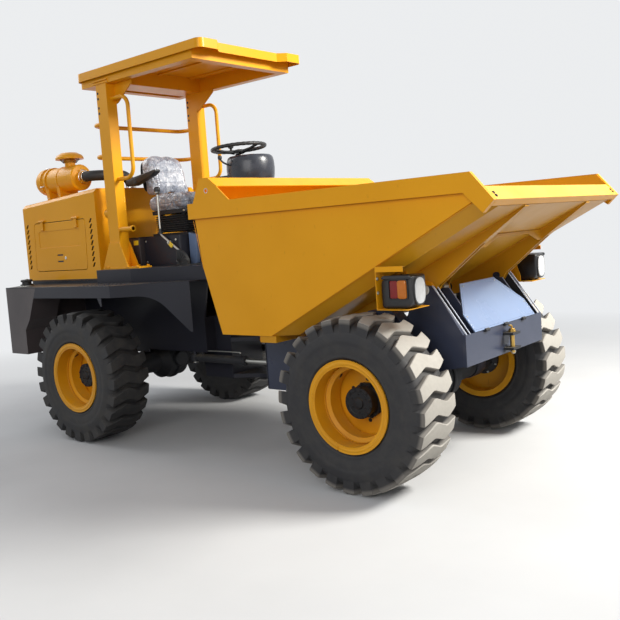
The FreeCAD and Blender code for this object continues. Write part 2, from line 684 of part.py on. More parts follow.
rear_grille = body("rear_grille")
bars = []
for step in range(11):
    foot = grille_low + 30 + step * 40
    bars.append(box_loop(-grille_half + 30, grille_half - 30, foot, foot + 26))
pad(rear_grille, "yz", s.hood_rear_x, s.hood_rear_x + s.hood_skin,
    box_loop(gap - grille_half, grille_half - gap, grille_low + gap, grille_high - gap), *bars)

# Air cleaner lying on the hood, its cap-shaped inlet, and the hose to the engine.

cleaner_y = -330
cleaner_z = 2010
cleaner_rad = 112
barrel_rad = 106
stack_x = -1868
neck_rad = 50
cleaner_rear_x = -2262
neck_front_x = -1690
air_cleaner = body("air_cleaner", stack_x, cleaner_y, cleaner_z)
spin(air_cleaner, "xz", "H_Axis", [(x - stack_x, radius) for x, radius in (
    (cleaner_rear_x, 0), (cleaner_rear_x, 40), (cleaner_rear_x + 8, 78), (cleaner_rear_x + 26, 102),
    (cleaner_rear_x + 50, cleaner_rad), (cleaner_rear_x + 112, cleaner_rad),
    (cleaner_rear_x + 116, barrel_rad), (neck_front_x - 44, barrel_rad),
    (neck_front_x - 36, barrel_rad - 10), (neck_front_x - 32, neck_rad), (neck_front_x, neck_rad),
    (neck_front_x, 0))])
stack_rad = 43
cap_rad = 115
cap_low = 160
pad(air_cleaner, "xy", barrel_rad - 20, cap_low + 1, (0, 0, stack_rad))
spin(air_cleaner, "xz", "V_Axis", [
    (0, cap_low), (cap_rad, cap_low), (cap_rad, cap_low + 14), (cap_rad - 12, cap_low + 32),
    (cap_rad - 48, cap_low + 52), (0, cap_low + 60)])
foot_wide = 40
for foot_x in (-2115, -1957):
    foot_z = hood_top(foot_x + foot_wide) - cleaner_z + gap
    pad(air_cleaner, "yz", foot_x - stack_x, foot_x - stack_x + foot_wide, [
        (-80, foot_z), (80, foot_z), (95, -cleaner_rad / 2), (-95, -cleaner_rad / 2)])

hose_rad = 42
hose_bend = 95
intake_hose = solid("intake_hose", swept([
    (neck_front_x + gap, cleaner_y, cleaner_z), (hose_x, cleaner_y, cleaner_z), (hose_x, hose_y, cleaner_z),
    (hose_x, hose_y, collar_high + gap)], hose_bend, hose_rad))

# Cab floor, a folded tray that narrows forwards.

cab_floor = body("cab_floor")


def floor_plan(inset):
    return [(s.floor_rear_x + inset, inset - s.floor_half_wide), (-900, inset - s.floor_half_wide),
            (s.floor_front_x - inset, inset - s.floor_front_half),
            (s.floor_front_x - inset, s.floor_front_half - inset), (-900, s.floor_half_wide - inset),
            (s.floor_rear_x + inset, s.floor_half_wide - inset)]


pad(cab_floor, "xy", s.deck_top + gap, s.floor_top, floor_plan(0))
pocket(cab_floor, "xy", s.deck_top, s.floor_top - s.plate, floor_plan(s.plate))

# Two posts with gussets at the foot and the top.

rops_posts = body("rops_posts")
post_in = s.post_out - s.post_wide
both(rops_posts, "xz", post_in, s.post_out,
     box_loop(s.post_rear_x, s.post_front_x, s.floor_top + 12, s.post_high))
base_thick = 12
gusset_thick = 8
gusset_high = 1455
base_front_x = -870
foot_gusset = [
    (s.floor_rear_x + 2, s.floor_top + base_thick), (s.post_front_x + 85, s.floor_top + base_thick),
    (s.post_front_x, gusset_high), (s.post_rear_x, gusset_high)]
both(rops_posts, "xz", s.post_out, s.post_out + gusset_thick, foot_gusset)
both(rops_posts, "xz", post_in - gusset_thick, post_in, foot_gusset)
both(rops_posts, "xz", post_in - 20, s.post_out + base_thick,
     box_loop(s.floor_rear_x + 2, base_front_x, s.floor_top + gap, s.floor_top + base_thick))
top_gusset = [(s.post_front_x - 1, s.post_high - 150), (s.post_front_x + 30, s.post_high - 140, 60),
              (s.post_front_x + 200, s.post_high - 20), (s.post_front_x + 200, s.post_high),
              (s.post_front_x - 1, s.post_high)]
both(rops_posts, "xz", post_in, post_in + 10, top_gusset)

canopy_frame = body("canopy_frame")
frame_rear_x = s.canopy_rear_x + 25
frame_front_x = s.canopy_front_x - 110
frame_wide = 70
frame_in = s.post_out - frame_wide
canopy_high = s.canopy_low + s.canopy_thick
canopy_skin = 5
pad(canopy_frame, "xy", s.post_high + gap, canopy_high - canopy_skin - gap,
    box_loop(frame_rear_x, frame_front_x, -s.post_out, s.post_out),
    box_loop(frame_rear_x + frame_wide, s.post_rear_x - 40, -frame_in, frame_in),
    box_loop(s.post_front_x + 40, frame_front_x - frame_wide, -frame_in, frame_in))

canopy = body("canopy")
notch_deep = 50


def canopy_plan(inset, corner):
    half = s.canopy_half_wide - inset
    front = s.canopy_front_x - inset
    notch = s.canopy_front_x - notch_deep - inset
    return [(s.canopy_rear_x + inset, -half, corner), (front, -half, corner), (front, 170 - half),
            (notch, 230 - half), (notch, half - 230), (front, half - 170), (front, half, corner),
            (s.canopy_rear_x + inset, half, corner)]


pad(canopy, "xy", s.canopy_low, canopy_high, canopy_plan(0, 45))
pocket(canopy, "xy", s.canopy_low - 1, canopy_high - canopy_skin, canopy_plan(canopy_skin, 40))

rail_y = s.post_out - s.post_wide / 2
guard_rails = solid("guard_rails", Part.makeCompound([
    swept([(s.post_rear_x - gap, -rail_y, high), (s.post_rear_x - 140, -rail_y, high),
           (s.post_rear_x - 140, rail_y, high), (s.post_rear_x - gap, rail_y, high)], 70, 16)
    for high in (2360, 2120)]))

grab_handles = solid("grab_handles", Part.makeCompound([
    swept([(s.post_front_x + gap, side * rail_y, 2530), (s.post_front_x + 180, side * rail_y, 2530),
           (s.post_front_x + 180, side * rail_y, 1930), (s.post_front_x + gap, side * rail_y, 1930)], 80, 15)
    for side in (-1, 1)]))

# Operator's seat on its pedestal and spring frame.

seat_pedestal = body("seat_pedestal")
pedestal_high = 1480
pad(seat_pedestal, "xy", s.floor_top + gap, pedestal_high, box_loop(-1060, -640, -300, 300, 20))

seat_suspension = body("seat_suspension")
spring_low = 1500
spring_high = s.cushion_low - 30
spring_rear_x = s.seat_rear_x + 50
spring_front_x = s.seat_front_x - 60
pad(seat_suspension, "xy", pedestal_high + gap, spring_low,
    box_loop(spring_rear_x, spring_front_x, -200, 200))
pad(seat_suspension, "xy", spring_high, s.cushion_low - gap,
    box_loop(spring_rear_x, spring_front_x, -190, 190))
both(seat_suspension, "xz", 150, 175, [
    (spring_rear_x + 10, spring_low - 1), (spring_rear_x + 50, spring_low - 1),
    (spring_front_x - 20, spring_high + 1), (spring_front_x - 60, spring_high + 1)])
both(seat_suspension, "xz", 120, 145, [
    (spring_front_x - 60, spring_low - 1), (spring_front_x - 20, spring_low - 1),
    (spring_rear_x + 50, spring_high + 1), (spring_rear_x + 10, spring_high + 1)])

seat_cushion = body("seat_cushion")
pad(seat_cushion, "xy", s.cushion_low, s.cushion_high,
    box_loop(s.seat_rear_x, s.seat_front_x, -s.seat_half_wide, s.seat_half_wide, 70))

seat_back = body("seat_back")
pad(seat_back, "xz", -s.back_half_wide, s.back_half_wide, [
    (s.seat_rear_x - 10, s.cushion_high + gap), (s.seat_rear_x + 110, s.cushion_high + gap),
    (s.seat_rear_x + 40, s.back_high, 40), (s.seat_rear_x - 70, s.back_high, 40)])
for side in (-1, 1):
    pocket(seat_back, "yz", s.seat_rear_x - 200, s.seat_rear_x + 200, [
        (side * (s.back_half_wide - in_from_side), s.back_high - down_from_top)
        for in_from_side, down_from_top in ((105, -1), (45, 22), (14, 58), (-1, 108), (-1, -1))])

armrest = body("armrest")
rest_in = 240
rest_out = 300
pad(armrest, "xz", -rest_out, -rest_in, [
    (s.seat_rear_x - 105, 1895), (s.seat_rear_x - 15, 1878), (s.seat_rear_x + 200, 1938),
    (s.seat_rear_x + 250, 1968, 10), (s.seat_rear_x + 245, 1985, 10), (s.seat_rear_x - 30, 1950)])
pad(armrest, "xz", -rest_in - 1, -s.back_half_wide - gap, (s.seat_rear_x, 1915, 14))

# Steering console with its round cowl, the wheel on its shaft.

steering_console = body("steering_console")
pad(steering_console, "xz", -110, 110, [
    (-500, s.floor_top + gap), (-330, s.floor_top + gap), (s.cowl_x - 45, s.cowl_low + 1),
    (s.cowl_x - 45, s.cowl_low + 42), (s.wheel_x - 157, s.cowl_low + 42),
    (s.wheel_x - 172, s.cowl_low + 10)])
cowl_step = s.cowl_high - 18
pad(steering_console, "xy", s.cowl_low, cowl_step, (s.cowl_x, 0, s.cowl_rad))
pad(steering_console, "xy", cowl_step, s.cowl_high, (s.cowl_x, 0, s.cowl_rad - 18))
wheel_turn = Rotation(Vector(0, 1, 0), -s.wheel_tilt.value)
hub_low = -60
hub_high = -35
spoke_rad = 8
grip = Part.makeTorus(float(s.steer_wheel_rad), float(s.grip_rad))
hub = Part.makeCylinder(38, hub_high - hub_low, Vector(0, 0, hub_low))
spoke = rod((20, 0, hub_high - spoke_rad), (s.steer_wheel_rad, 0, 0), spoke_rad)
spokes = [spoke.rotated(Vector(), Vector(0, 0, 1), angle) for angle in (0, 120, 240)]
solid("steering_wheel", fused([grip, hub, *spokes]), s.wheel_x, 0, s.wheel_z, wheel_turn)
column_rad = 16
lean = math.radians(s.wheel_tilt.value)
column_drop = (float(s.wheel_z - s.cowl_high - gap) - column_rad * math.sin(lean)) / math.cos(lean)
column = Part.makeCylinder(column_rad, column_drop + hub_low - 1, Vector(0, 0, -column_drop))
solid("steering_column", column, s.wheel_x, 0, s.wheel_z, wheel_turn)

lever_foot_y = -300 - gap
hand_lever = solid("hand_lever", fused([
    swept([(-827, -318, 1800), (-827, -318, 1492), (-640, -318, 1366)], 40, 9),
    rod((-733, lever_foot_y, 1429), (-733, -318, 1429), 13),
    Part.makeSphere(22, Vector(-827, -318, 1812))]))

pedals = body("pedals")
for low in (-190, 120):
    pad(pedals, "xz", low, low + 70, [(-420, 1330), (-412, 1322), (-372, 1400), (-380, 1408)])
    pad(pedals, "xz", low + 25, low + 45, [
        (-400, s.floor_top + gap), (-380, s.floor_top + gap), (-380, 1395), (-400, 1366)])

# Front body: side plates with inclined front edges, the cross plate and the tongue of the hinge.

front_frame = body("front_frame")
front_in = s.front_rail_out - s.front_rail_thick
seat_pad_z = AXLE_Z + 92
frame_rear_x = 300
frame_top = 770
axle_x = s.wheel_base / 2
cover_run = s.cross_x - s.rail_tip_x
cover_rise = s.rail_tip_z - s.cross_high
both(front_frame, "xz", front_in, s.front_rail_out, [
    (frame_rear_x, 430), (880, 430), (axle_x - 130, seat_pad_z), (axle_x + 130, seat_pad_z),
    (s.cross_x - 20, s.cross_low), (s.cross_x - 20, s.cross_high), (s.rail_tip_x, s.rail_tip_z, 12),
    (s.tip_x - 60, s.rail_tip_z, 30), (s.tip_x - 170, frame_top), (frame_rear_x, frame_top)])
pad(front_frame, "yz", s.cross_x - 20, s.cross_x,
    box_loop(-s.front_rail_out - 10, s.front_rail_out + 10, s.cross_low, s.cross_high))
pad(front_frame, "yz", frame_rear_x, frame_rear_x + 20, box_loop(-front_in, front_in, 430, frame_top))
tongue_low = s.ear_low + s.ear_thick + s.tongue_gap
tongue_high = s.ear_high - s.ear_thick - s.tongue_gap
tongue_rad = s.ear_rad - 5
tongue_plan = [
    (frame_rear_x + 1, -150), (frame_rear_x + 1, 150), (150, tongue_rad, 60), (-tongue_rad, tongue_rad, 60),
    (-tongue_rad, -tongue_rad, 60), (150, -tongue_rad, 60)]
pad(front_frame, "xy", tongue_low, tongue_high, tongue_plan, (0, 0, s.hinge_pin_rad + s.pin_gap))
stay_x = s.cross_x - cover_run * 0.9
stay_z = s.cross_high + cover_rise * 0.9
both(front_frame, "xz", 330, 342, [
    (s.cross_x - 19, s.cross_low + 40), (s.cross_x - 19, s.cross_high - 1),
    (s.cross_x - 1, s.cross_high - 1), (stay_x, stay_z), (stay_x - 60, stay_z),
    (s.cross_x - 146, s.cross_low + 40)])
both(front_frame, "xz", front_in, s.front_rail_out, box_loop(600, 680, frame_top - 1, 801 - gap))
base_rad = 40
both(front_frame, "xz", 60, front_in, (s.tip_base_x, s.tip_base_z, base_rad))
pad(front_frame, "xz", -60, 60, (s.tip_base_x, s.tip_base_z, s.tip_rod_rad))
for side in (-1, 1):
    eye_low, eye_high = sorted((side * (s.steer_eye_y - 45), side * (s.steer_eye_y + 45)), key=float)
    pad(front_frame, "xy", s.steer_z - 60, s.steer_z - 45,
        box_loop(s.steer_eye_x - 45, frame_rear_x + 1, eye_low, eye_high))
rib_pin_in = s.rib_out - 62
both(front_frame, "xz", rib_pin_in, front_in + 1, (s.tip_x, s.tip_z, s.tip_pin_rad))

front_cover = body("front_cover", s.cross_x, 0, s.cross_high)
cover_lean = math.degrees(math.atan2(float(cover_run), float(cover_rise)))
front_cover.Placement = Placement(Vector(), Rotation(Vector(0, 1, 0), -cover_lean))
cover_half = 395
cover_top_half = 215
cover_shoulder = 115
cover_high = 302
pad(front_cover, "yz", gap, s.plate, [
    (-cover_half, 0), (cover_half, 0), (cover_half, cover_shoulder), (cover_top_half, cover_high),
    (-cover_top_half, cover_high), (-cover_half, cover_shoulder)])

tow_hitch = body("tow_hitch")
hitch_thick = 14
tow_pin_x = s.hitch_x - 28
for low in (s.hitch_low, s.hitch_high - hitch_thick):
    pad(tow_hitch, "xy", low, low + hitch_thick,
        box_loop(s.cross_x + gap, s.hitch_x, -s.hitch_half_wide, s.hitch_half_wide),
        (tow_pin_x, 0, s.tow_pin_rad + s.pin_gap))
tow_pin = body("tow_pin")
pad(tow_pin, "xy", s.hitch_low - 20, s.hitch_high + gap, (tow_pin_x, 0, s.tow_pin_rad))
pad(tow_pin, "xy", s.hitch_high + gap, s.hitch_high + 12, (tow_pin_x, 0, s.tow_pin_rad + 8))

driveshaft = body("driveshaft")
pad(driveshaft, "yz", frame_rear_x + 20 + gap, axle_x - 150 - gap, (0, AXLE_Z, 30))

# Skip: floor and rear wall, slanting strips at the foot of the sides, two side plates.

t = s.skip_sheet
side_in = s.skip_half_wide - t
wide = float(side_in - gap)
toe = point(s.toe_x, 0, s.skip_low)
fold = point(s.fold_x, s.floor_half, s.skip_low)
lip_foot = point(s.fold_end_x, s.floor_half, s.fold_end_z)
slant = (fold - point(s.toe_x, side_in - gap, s.skip_low)).cross(lip_foot - fold).normalize()
floor_normal = Vector(lip_foot.z - fold.z, 0, fold.x - lip_foot.x).normalize()
back_low = point(s.heel_x, 0, s.skip_low)
back_bend = point(s.bend_x, 0, s.bend_z)
back_high = point(s.rear_top_x, 0, s.rim_top)
other_lip_foot = point(s.fold_end_x, -s.floor_half, s.fold_end_z)
plates = [
    (toe, Vector(0, 0, -1)), (fold, floor_normal),
    (lip_foot, -slant), (other_lip_foot, Vector(-slant.x, slant.y, -slant.z)),
    (back_high, Vector(back_bend.z - back_high.z, 0, back_high.x - back_bend.x).normalize()),
    (back_low, Vector(back_low.z - back_bend.z, 0, back_bend.x - back_low.x).normalize())]
front_edge = (lip_foot - Vector(4.7, 0, 0), Vector(65, 0, 17).normalize())
open_sides = [
    (Vector(0, wide, 0), Vector(0, 1, 0)), (Vector(0, -wide, 0), Vector(0, -1, 0)),
    (back_high, Vector(0, 0, 1)), front_edge]
tub_outer = doc.addObject("Part::Feature", "tub_outer")
tub_outer.Shape = convex(plates + open_sides)
tub_inner = doc.addObject("Part::Feature", "tub_inner")
tub_inner.Shape = convex(moved_out(plates, -t) + moved_out(open_sides, 60))
skip_tub = doc.addObject("Part::Cut", "skip_tub")
skip_tub.Label = "skip_tub"
skip_tub.Base = tub_outer
skip_tub.Tool = tub_inner
place(skip_tub)

skip_lip = body("skip_lip")
pad(skip_lip, "xz", gap - side_in, side_in - gap, [
    (s.fold_end_x, s.fold_end_z), (s.lip_x, s.lip_z), (s.guard_x, s.guard_z),
    (s.guard_x - 4.5, s.guard_z - 4), (s.lip_x - 8.5, s.lip_z), (s.fold_end_x - 4.2, s.fold_end_z + 4.2)])

for hand, side in (("right", -1), ("left", 1)):
    wall = body(f"skip_side_{hand}")
    low, high = sorted((side * s.skip_half_wide, side * side_in), key=float)
    pad(wall, "xz", low, high, [
        (s.rear_top_x, s.rim_top), (s.bend_x, s.bend_z), (s.heel_x, s.skip_low), (s.toe_x, s.skip_low),
        (s.side_end_x, s.side_end_z), (s.lip_foot_x, s.lip_foot_z), (s.lip_x, s.lip_z),
        (s.apex_x, s.rim_top)])

# The rim: channels along the sides, the headboard folded forward at the top, a gusset at each end.

skip_rim = body("skip_rim")
rim_high = s.rim_top + t
band_low = s.rim_top - s.rim_deep
both(skip_rim, "xz", s.skip_half_wide + gap, s.rim_out, [
    (s.rim_rear_x, band_low), (s.apex_x - 38, band_low), (s.lip_foot_x, s.lip_foot_z),
    (s.lip_x, s.lip_z), (s.apex_x + 2, rim_high), (s.rim_rear_x, rim_high)])
both_cut(skip_rim, "xz", s.skip_half_wide, s.rim_out - t, [
    (s.rim_rear_x + t, band_low + t), (s.apex_x - 36, band_low + t), (s.lip_foot_x, s.lip_foot_z + 9),
    (s.lip_x - 9, s.lip_z), (s.apex_x - 1, s.rim_top), (s.rim_rear_x + t, s.rim_top)])
both(skip_rim, "xz", side_in, s.skip_half_wide + 1,
     box_loop(s.rim_rear_x, s.apex_x, s.rim_top + gap, rim_high))
pad(skip_rim, "xz", -s.rim_out, s.rim_out, [
    (s.rim_rear_x, band_low), (s.rim_rear_x, rim_high), (s.head_foot_x - 3, rim_high),
    (s.head_x - 8, s.head_top - 4),
    (s.head_x, s.head_top), (s.head_x + 66, s.head_top), (s.head_x + 140, s.head_top - 56),
    (s.head_x + 136, s.head_top - 61), (s.head_x + 64, s.head_top - t), (s.head_x + 3, s.head_top - t),
    (s.head_x - 2, s.head_top - 8), (s.head_foot_x + 4, rim_high - 2), (s.head_foot_x + 4, s.rim_top + gap),
    (s.rim_rear_x + t, s.rim_top + gap), (s.rim_rear_x + t, band_low)])
both(skip_rim, "xz", s.rim_out - t, s.rim_out, [
    (s.head_foot_x, rim_high - 1), (s.head_foot_x + 308, rim_high - 1), (s.head_x + 136, s.head_top - 58),
    (s.head_x + 66, s.head_top - 1), (s.head_x, s.head_top - 1), (s.head_x - 8, s.head_top - 5)],
    (s.head_x + 47, s.head_top - 78, s.head_hole_rad))

# Below the skip: a cross beam, two ribs of twin plates out to the lip, lugs for the tipping ram.

skip_ribs = body("skip_ribs")
floor_rise = (s.fold_end_z - s.skip_low) / (s.fold_end_x - s.fold_x)


def under_floor(x):
    return s.skip_low + floor_rise * (x - s.fold_x) - gap


beam_rear_x = 577
beam_front_x = 700
beam_low = 801
pin_hole = (s.tip_x, s.tip_z, s.tip_pin_rad + s.pin_gap)
rib_knee_x = 1833
rib_knee_z = 1305
rib_tip_x = s.fold_end_x - 6
rib_line = [
    (beam_rear_x + 10, s.skip_low - gap), (beam_rear_x + 10, beam_low), (beam_front_x, beam_low),
    (s.tip_x - 55, s.tip_z - 38, 40), (s.tip_x + 30, s.tip_z - 38, 25), (s.tip_x + 62, s.tip_z + 15),
    (rib_knee_x, rib_knee_z), (rib_tip_x, s.fold_end_z - 11), (rib_tip_x, under_floor(rib_tip_x)),
    (s.fold_x, s.skip_low - gap)]
rib_in = s.rib_out - 52
for low in (rib_in, s.rib_out - s.rib_thick):
    both(skip_ribs, "xz", low, low + s.rib_thick, rib_line, pin_hole)
both(skip_ribs, "xz", rib_in + 1, s.rib_out - 1, [
    (rib_knee_x, rib_knee_z), (rib_tip_x, s.fold_end_z - 11), (rib_tip_x, s.fold_end_z - 5),
    (rib_knee_x - 4, rib_knee_z + 5)])
pad(skip_ribs, "xz", -side_in + 1, side_in - 1,
    box_loop(beam_rear_x, beam_front_x, beam_low, s.skip_low - gap))
brace_x = 1796
brace_low = 1282
arc_rad = 140
pad(skip_ribs, "yz", brace_x, brace_x + s.plate, [
    (-rib_in - 1, brace_low), (-rib_in + 60, brace_low), (-rib_in + 190, under_floor(brace_x) - 18, arc_rad),
    (rib_in - 190, under_floor(brace_x) - 18, arc_rad), (rib_in - 60, brace_low), (rib_in + 1, brace_low),
    (rib_in + 1, under_floor(brace_x)), (-rib_in - 1, under_floor(brace_x))])
both(skip_ribs, "xz", 42, 56, [
    (beam_front_x - 20, beam_low + 10), (900, 850), (s.tip_eye_x - 60, s.tip_eye_z - 50),
    (s.tip_eye_x, s.tip_eye_z - 50, 30), (s.tip_eye_x + 70, under_floor(s.tip_eye_x + 70)),
    (s.fold_x, s.skip_low - gap),
    (beam_front_x - 20, s.skip_low - gap)])
both(skip_ribs, "xz", 55, 68, (s.tip_eye_x, s.tip_eye_z, 26))

# Lamps hang in box brackets outside the floor's slanting edge.

lamp_brackets = body("lamp_brackets")
bracket_in = 660
bracket_out = 868
bracket_rear_x = 1434
bracket_front_x = 1622
bracket_low = 1003
bracket_high = 1228
bracket_thick = 4
hanger_high = under_floor(bracket_rear_x)
for side in (-1, 1):
    pad(lamp_brackets, "yz", bracket_rear_x, bracket_rear_x + bracket_thick, [
        (side * bracket_in, bracket_low), (side * bracket_out, bracket_low),
        (side * bracket_out, bracket_high), (side * (s.skip_half_wide + 4), bracket_high),
        (side * s.floor_half, hanger_high - 8), (side * bracket_in, hanger_high - 8)])
    foot_low, foot_high = sorted((side * bracket_in, side * bracket_out), key=float)
    pad(lamp_brackets, "xy", bracket_low, bracket_low + bracket_thick,
        box_loop(bracket_rear_x, bracket_front_x, foot_low, foot_high))
both(lamp_brackets, "xz", bracket_in, bracket_in + bracket_thick, [
    (bracket_rear_x, bracket_low), (bracket_rear_x + 110, bracket_low),
    (bracket_rear_x + 110, bracket_low + 40),
    (bracket_rear_x + 60, under_floor(bracket_rear_x + 60)), (bracket_rear_x, hanger_high)])
both(lamp_brackets, "xz", s.skip_half_wide + gap, bracket_out,
     box_loop(bracket_rear_x, bracket_front_x - 20, bracket_high - bracket_thick, bracket_high))
both(lamp_brackets, "xz", bracket_out - bracket_thick, bracket_out,
     box_loop(bracket_rear_x, bracket_front_x - 20, bracket_high - 28, bracket_high))

headlamps = body("headlamps")
lamp_foot = bracket_low + bracket_thick + gap
lamp_front_x = 1640
lamp_top = 1180
both(headlamps, "xz", 700, 846, [
    (bracket_rear_x + 14, lamp_foot), (lamp_front_x - 24, lamp_foot), (lamp_front_x, lamp_foot + 29),
    (lamp_front_x, lamp_top, 14), (bracket_rear_x + 50, lamp_top), (bracket_rear_x + 14, lamp_top - 20)])

# Cylinders: a barrel turning on its pin and a rod that slides in it.

BARREL_LONG = 0.66


def barrel(length, radius, bore, base_bore):
    tube = Part.makeCylinder(radius, length * BARREL_LONG - 60, Vector(60, 0, 0), Vector(1, 0, 0))
    eye = Part.makeCylinder(base_bore + 16, 2 * radius - 6, Vector(0, 0, 3 - radius), Vector(0, 0, 1))
    neck = Part.makeCylinder(radius - 4, 62, Vector(0, 0, 0), Vector(1, 0, 0))
    made = fused([tube, eye, neck])
    made = made.cut(Part.makeCylinder(bore, length, Vector(66, 0, 0), Vector(1, 0, 0)))
    return made.cut(Part.makeCylinder(base_bore, 4 * radius, Vector(0, 0, -2 * radius), Vector(0, 0, 1)))


def ram_rod(length, radius, start, eye_rad, eye_half):
    bar = Part.makeCylinder(radius, length - start, Vector(start, 0, 0), Vector(1, 0, 0))
    eye = Part.makeCylinder(eye_rad, 2 * eye_half, Vector(length, 0, -eye_half), Vector(0, 0, 1))
    return fused([bar, eye])


tip_run = s.tip_eye_x - s.tip_base_x
tip_rise = s.tip_eye_z - s.tip_base_z
tip_long = math.hypot(float(tip_run), float(tip_rise))
tip_turn = Rotation(Vector(0, 1, 0), -math.degrees(math.atan2(float(tip_rise), float(tip_run))))
lie = Rotation(Vector(1, 0, 0), 90)
for label, shape in (
        ("tip_barrel", barrel(tip_long, float(s.tip_barrel_rad), float(s.tip_rod_rad + gap),
                              float(s.tip_rod_rad + s.pin_gap))),
        ("tip_rod", ram_rod(tip_long, float(s.tip_rod_rad), 280, 36, 30))):
    solid(label, shape, s.tip_base_x, 0, s.tip_base_z, tip_turn.multiply(lie))

steer_run = s.steer_eye_x - s.steer_base_x
steer_rise = s.steer_eye_y - s.steer_base_y
steer_long = math.hypot(float(steer_run), float(steer_rise))
for hand, side in (("right", -1), ("left", 1)):
    turn = Rotation(Vector(0, 0, 1), side * math.degrees(math.atan2(float(steer_rise), float(steer_run))))
    for label, shape in (
            (f"steer_barrel_{hand}", barrel(steer_long, float(s.steer_barrel_rad),
                                            float(s.steer_rod_rad + gap), 14.1)),
            (f"steer_rod_{hand}", ram_rod(steer_long, float(s.steer_rod_rad), 260, 30, 24))):
        solid(label, shape, s.steer_base_x, side * s.steer_base_y, s.steer_z, turn)


doc.recompute()

bad = []
for item in doc.Objects:
    if "Invalid" in item.State or "Error" in item.State:
        bad.append(f"{item.Label}: {item.State}")
for piece in PIECES:
    if piece.Shape.isNull() or not piece.Shape.isValid() or not piece.Shape.Solids:
        bad.append(f"{piece.Label}: no valid solid")
for item in doc.Objects:
    if item.TypeId == "PartDesign::Pocket" and item.Shape.Volume > item.BaseFeature.Shape.Volume - 1:
        bad.append(f"{item.Label}: cuts nothing")
if bad:
    raise RuntimeError("; ".join(bad))

os.makedirs("parts", exist_ok=True)
for piece in PIECES:
    piece.Shape.exportStep(f"parts/{piece.Label}.step")
    print(piece.Label, len(piece.Shape.Solids), round(piece.Shape.Volume / 1e9, 5))
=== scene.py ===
import json
import math
import random

import bmesh
import bpy
from mathutils import Matrix, Vector


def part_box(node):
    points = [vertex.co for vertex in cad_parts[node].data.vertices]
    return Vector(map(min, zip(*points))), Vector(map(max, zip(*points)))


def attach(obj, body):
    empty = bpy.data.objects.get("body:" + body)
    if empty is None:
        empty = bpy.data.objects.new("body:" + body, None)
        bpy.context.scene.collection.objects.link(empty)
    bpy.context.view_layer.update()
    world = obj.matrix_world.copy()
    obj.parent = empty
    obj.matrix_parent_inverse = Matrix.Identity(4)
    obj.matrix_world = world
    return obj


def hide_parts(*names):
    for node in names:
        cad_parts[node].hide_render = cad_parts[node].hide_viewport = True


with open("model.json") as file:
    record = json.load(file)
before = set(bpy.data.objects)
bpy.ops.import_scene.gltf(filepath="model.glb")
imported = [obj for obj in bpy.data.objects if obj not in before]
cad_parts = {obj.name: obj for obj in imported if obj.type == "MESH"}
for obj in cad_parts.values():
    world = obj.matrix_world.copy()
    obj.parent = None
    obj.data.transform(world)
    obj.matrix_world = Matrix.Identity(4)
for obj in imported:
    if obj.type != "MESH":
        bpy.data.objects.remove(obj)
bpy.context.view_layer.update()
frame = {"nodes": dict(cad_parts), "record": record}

# The part's own frame is 115 mm ahead of the wheelbase's middle, from which the sizes below are measured.
SHIFT = 0.115


# Camera: the photograph's viewpoint, solved from the machine's own edges.

def look(yaw, pitch, roll):
    ahead = Vector((-math.sin(yaw) * math.cos(pitch), math.cos(yaw) * math.cos(pitch), -math.sin(pitch)))
    right = ahead.cross(Vector((0, 0, 1))).normalized()
    above = right.cross(ahead)
    across = math.cos(roll) * right + math.sin(roll) * above
    upward = math.cos(roll) * above - math.sin(roll) * right
    return Matrix((across, upward, -ahead)).transposed()


camera_data = bpy.data.cameras.new("camera")
camera_data.sensor_width = 36
camera_data.lens = 792.594 / 620 * 36
camera_data.shift_x = (310 - 273.764) / 620
camera_data.shift_y = (301.582 - 310) / 620
camera_data.clip_end = 100
camera = bpy.data.objects.new("camera", camera_data)
camera.matrix_world = look(0.719, 0.087, -0.075).to_4x4()
camera.location = (3.724 + SHIFT, -4.289, 1.445)
bpy.context.scene.collection.objects.link(camera)
bpy.context.scene.camera = camera


# Stage, light and world.

def new_mesh(name, vertices, faces):
    mesh = bpy.data.meshes.new(name)
    mesh.from_pydata(vertices, [], faces)
    mesh.update()
    made = bpy.data.objects.new(name, mesh)
    bpy.context.scene.collection.objects.link(made)
    return made


def area_light(name, place, target, size, power, colour=(1, 1, 1)):
    data = bpy.data.lights.new(name, "AREA")
    data.shape = "RECTANGLE"
    data.size, data.size_y = size
    data.energy = power
    data.color = colour
    made = bpy.data.objects.new(name, data)
    made.location = place
    made.rotation_euler = (Vector(target) - Vector(place)).to_track_quat("-Z", "Y").to_euler()
    bpy.context.scene.collection.objects.link(made)
    return made


area_light("key", (5.6, 2.4, 4.9), (0.2, 0, 1.0), (2.2, 2.0), 820, (1, 0.975, 0.91))
area_light("fill", (3.0, -6.2, 3.2), (0.2, 0, 1.0), (4.5, 3.0), 130, (1, 0.985, 0.96))
area_light("rim", (-4.5, -1.0, 4.5), (-0.5, 0, 1.2), (3.0, 3.0), 90)

world = bpy.data.worlds.new("world")
bpy.context.scene.world = world
world.use_nodes = True
nodes = world.node_tree.nodes
links = world.node_tree.links
nodes.clear()
path = nodes.new("ShaderNodeLightPath")
seen = nodes.new("ShaderNodeMath")
seen.operation = "MAXIMUM"
links.new(path.outputs["Is Camera Ray"], seen.inputs[0])
gloss = nodes.new("ShaderNodeMath")
gloss.operation = "MAXIMUM"
links.new(path.outputs["Is Glossy Ray"], gloss.inputs[0])
links.new(path.outputs["Is Transmission Ray"], gloss.inputs[1])
links.new(gloss.outputs[0], seen.inputs[1])
soft = nodes.new("ShaderNodeBackground")
soft.inputs["Color"].default_value = (0.93, 0.96, 1, 1)
soft.inputs["Strength"].default_value = 0.34
pale = nodes.new("ShaderNodeBackground")
pale.inputs["Color"].default_value = (0.93, 0.945, 0.96, 1)
pale.inputs["Strength"].default_value = 0.9
both = nodes.new("ShaderNodeMixShader")
links.new(seen.outputs[0], both.inputs[0])
links.new(soft.outputs[0], both.inputs[1])
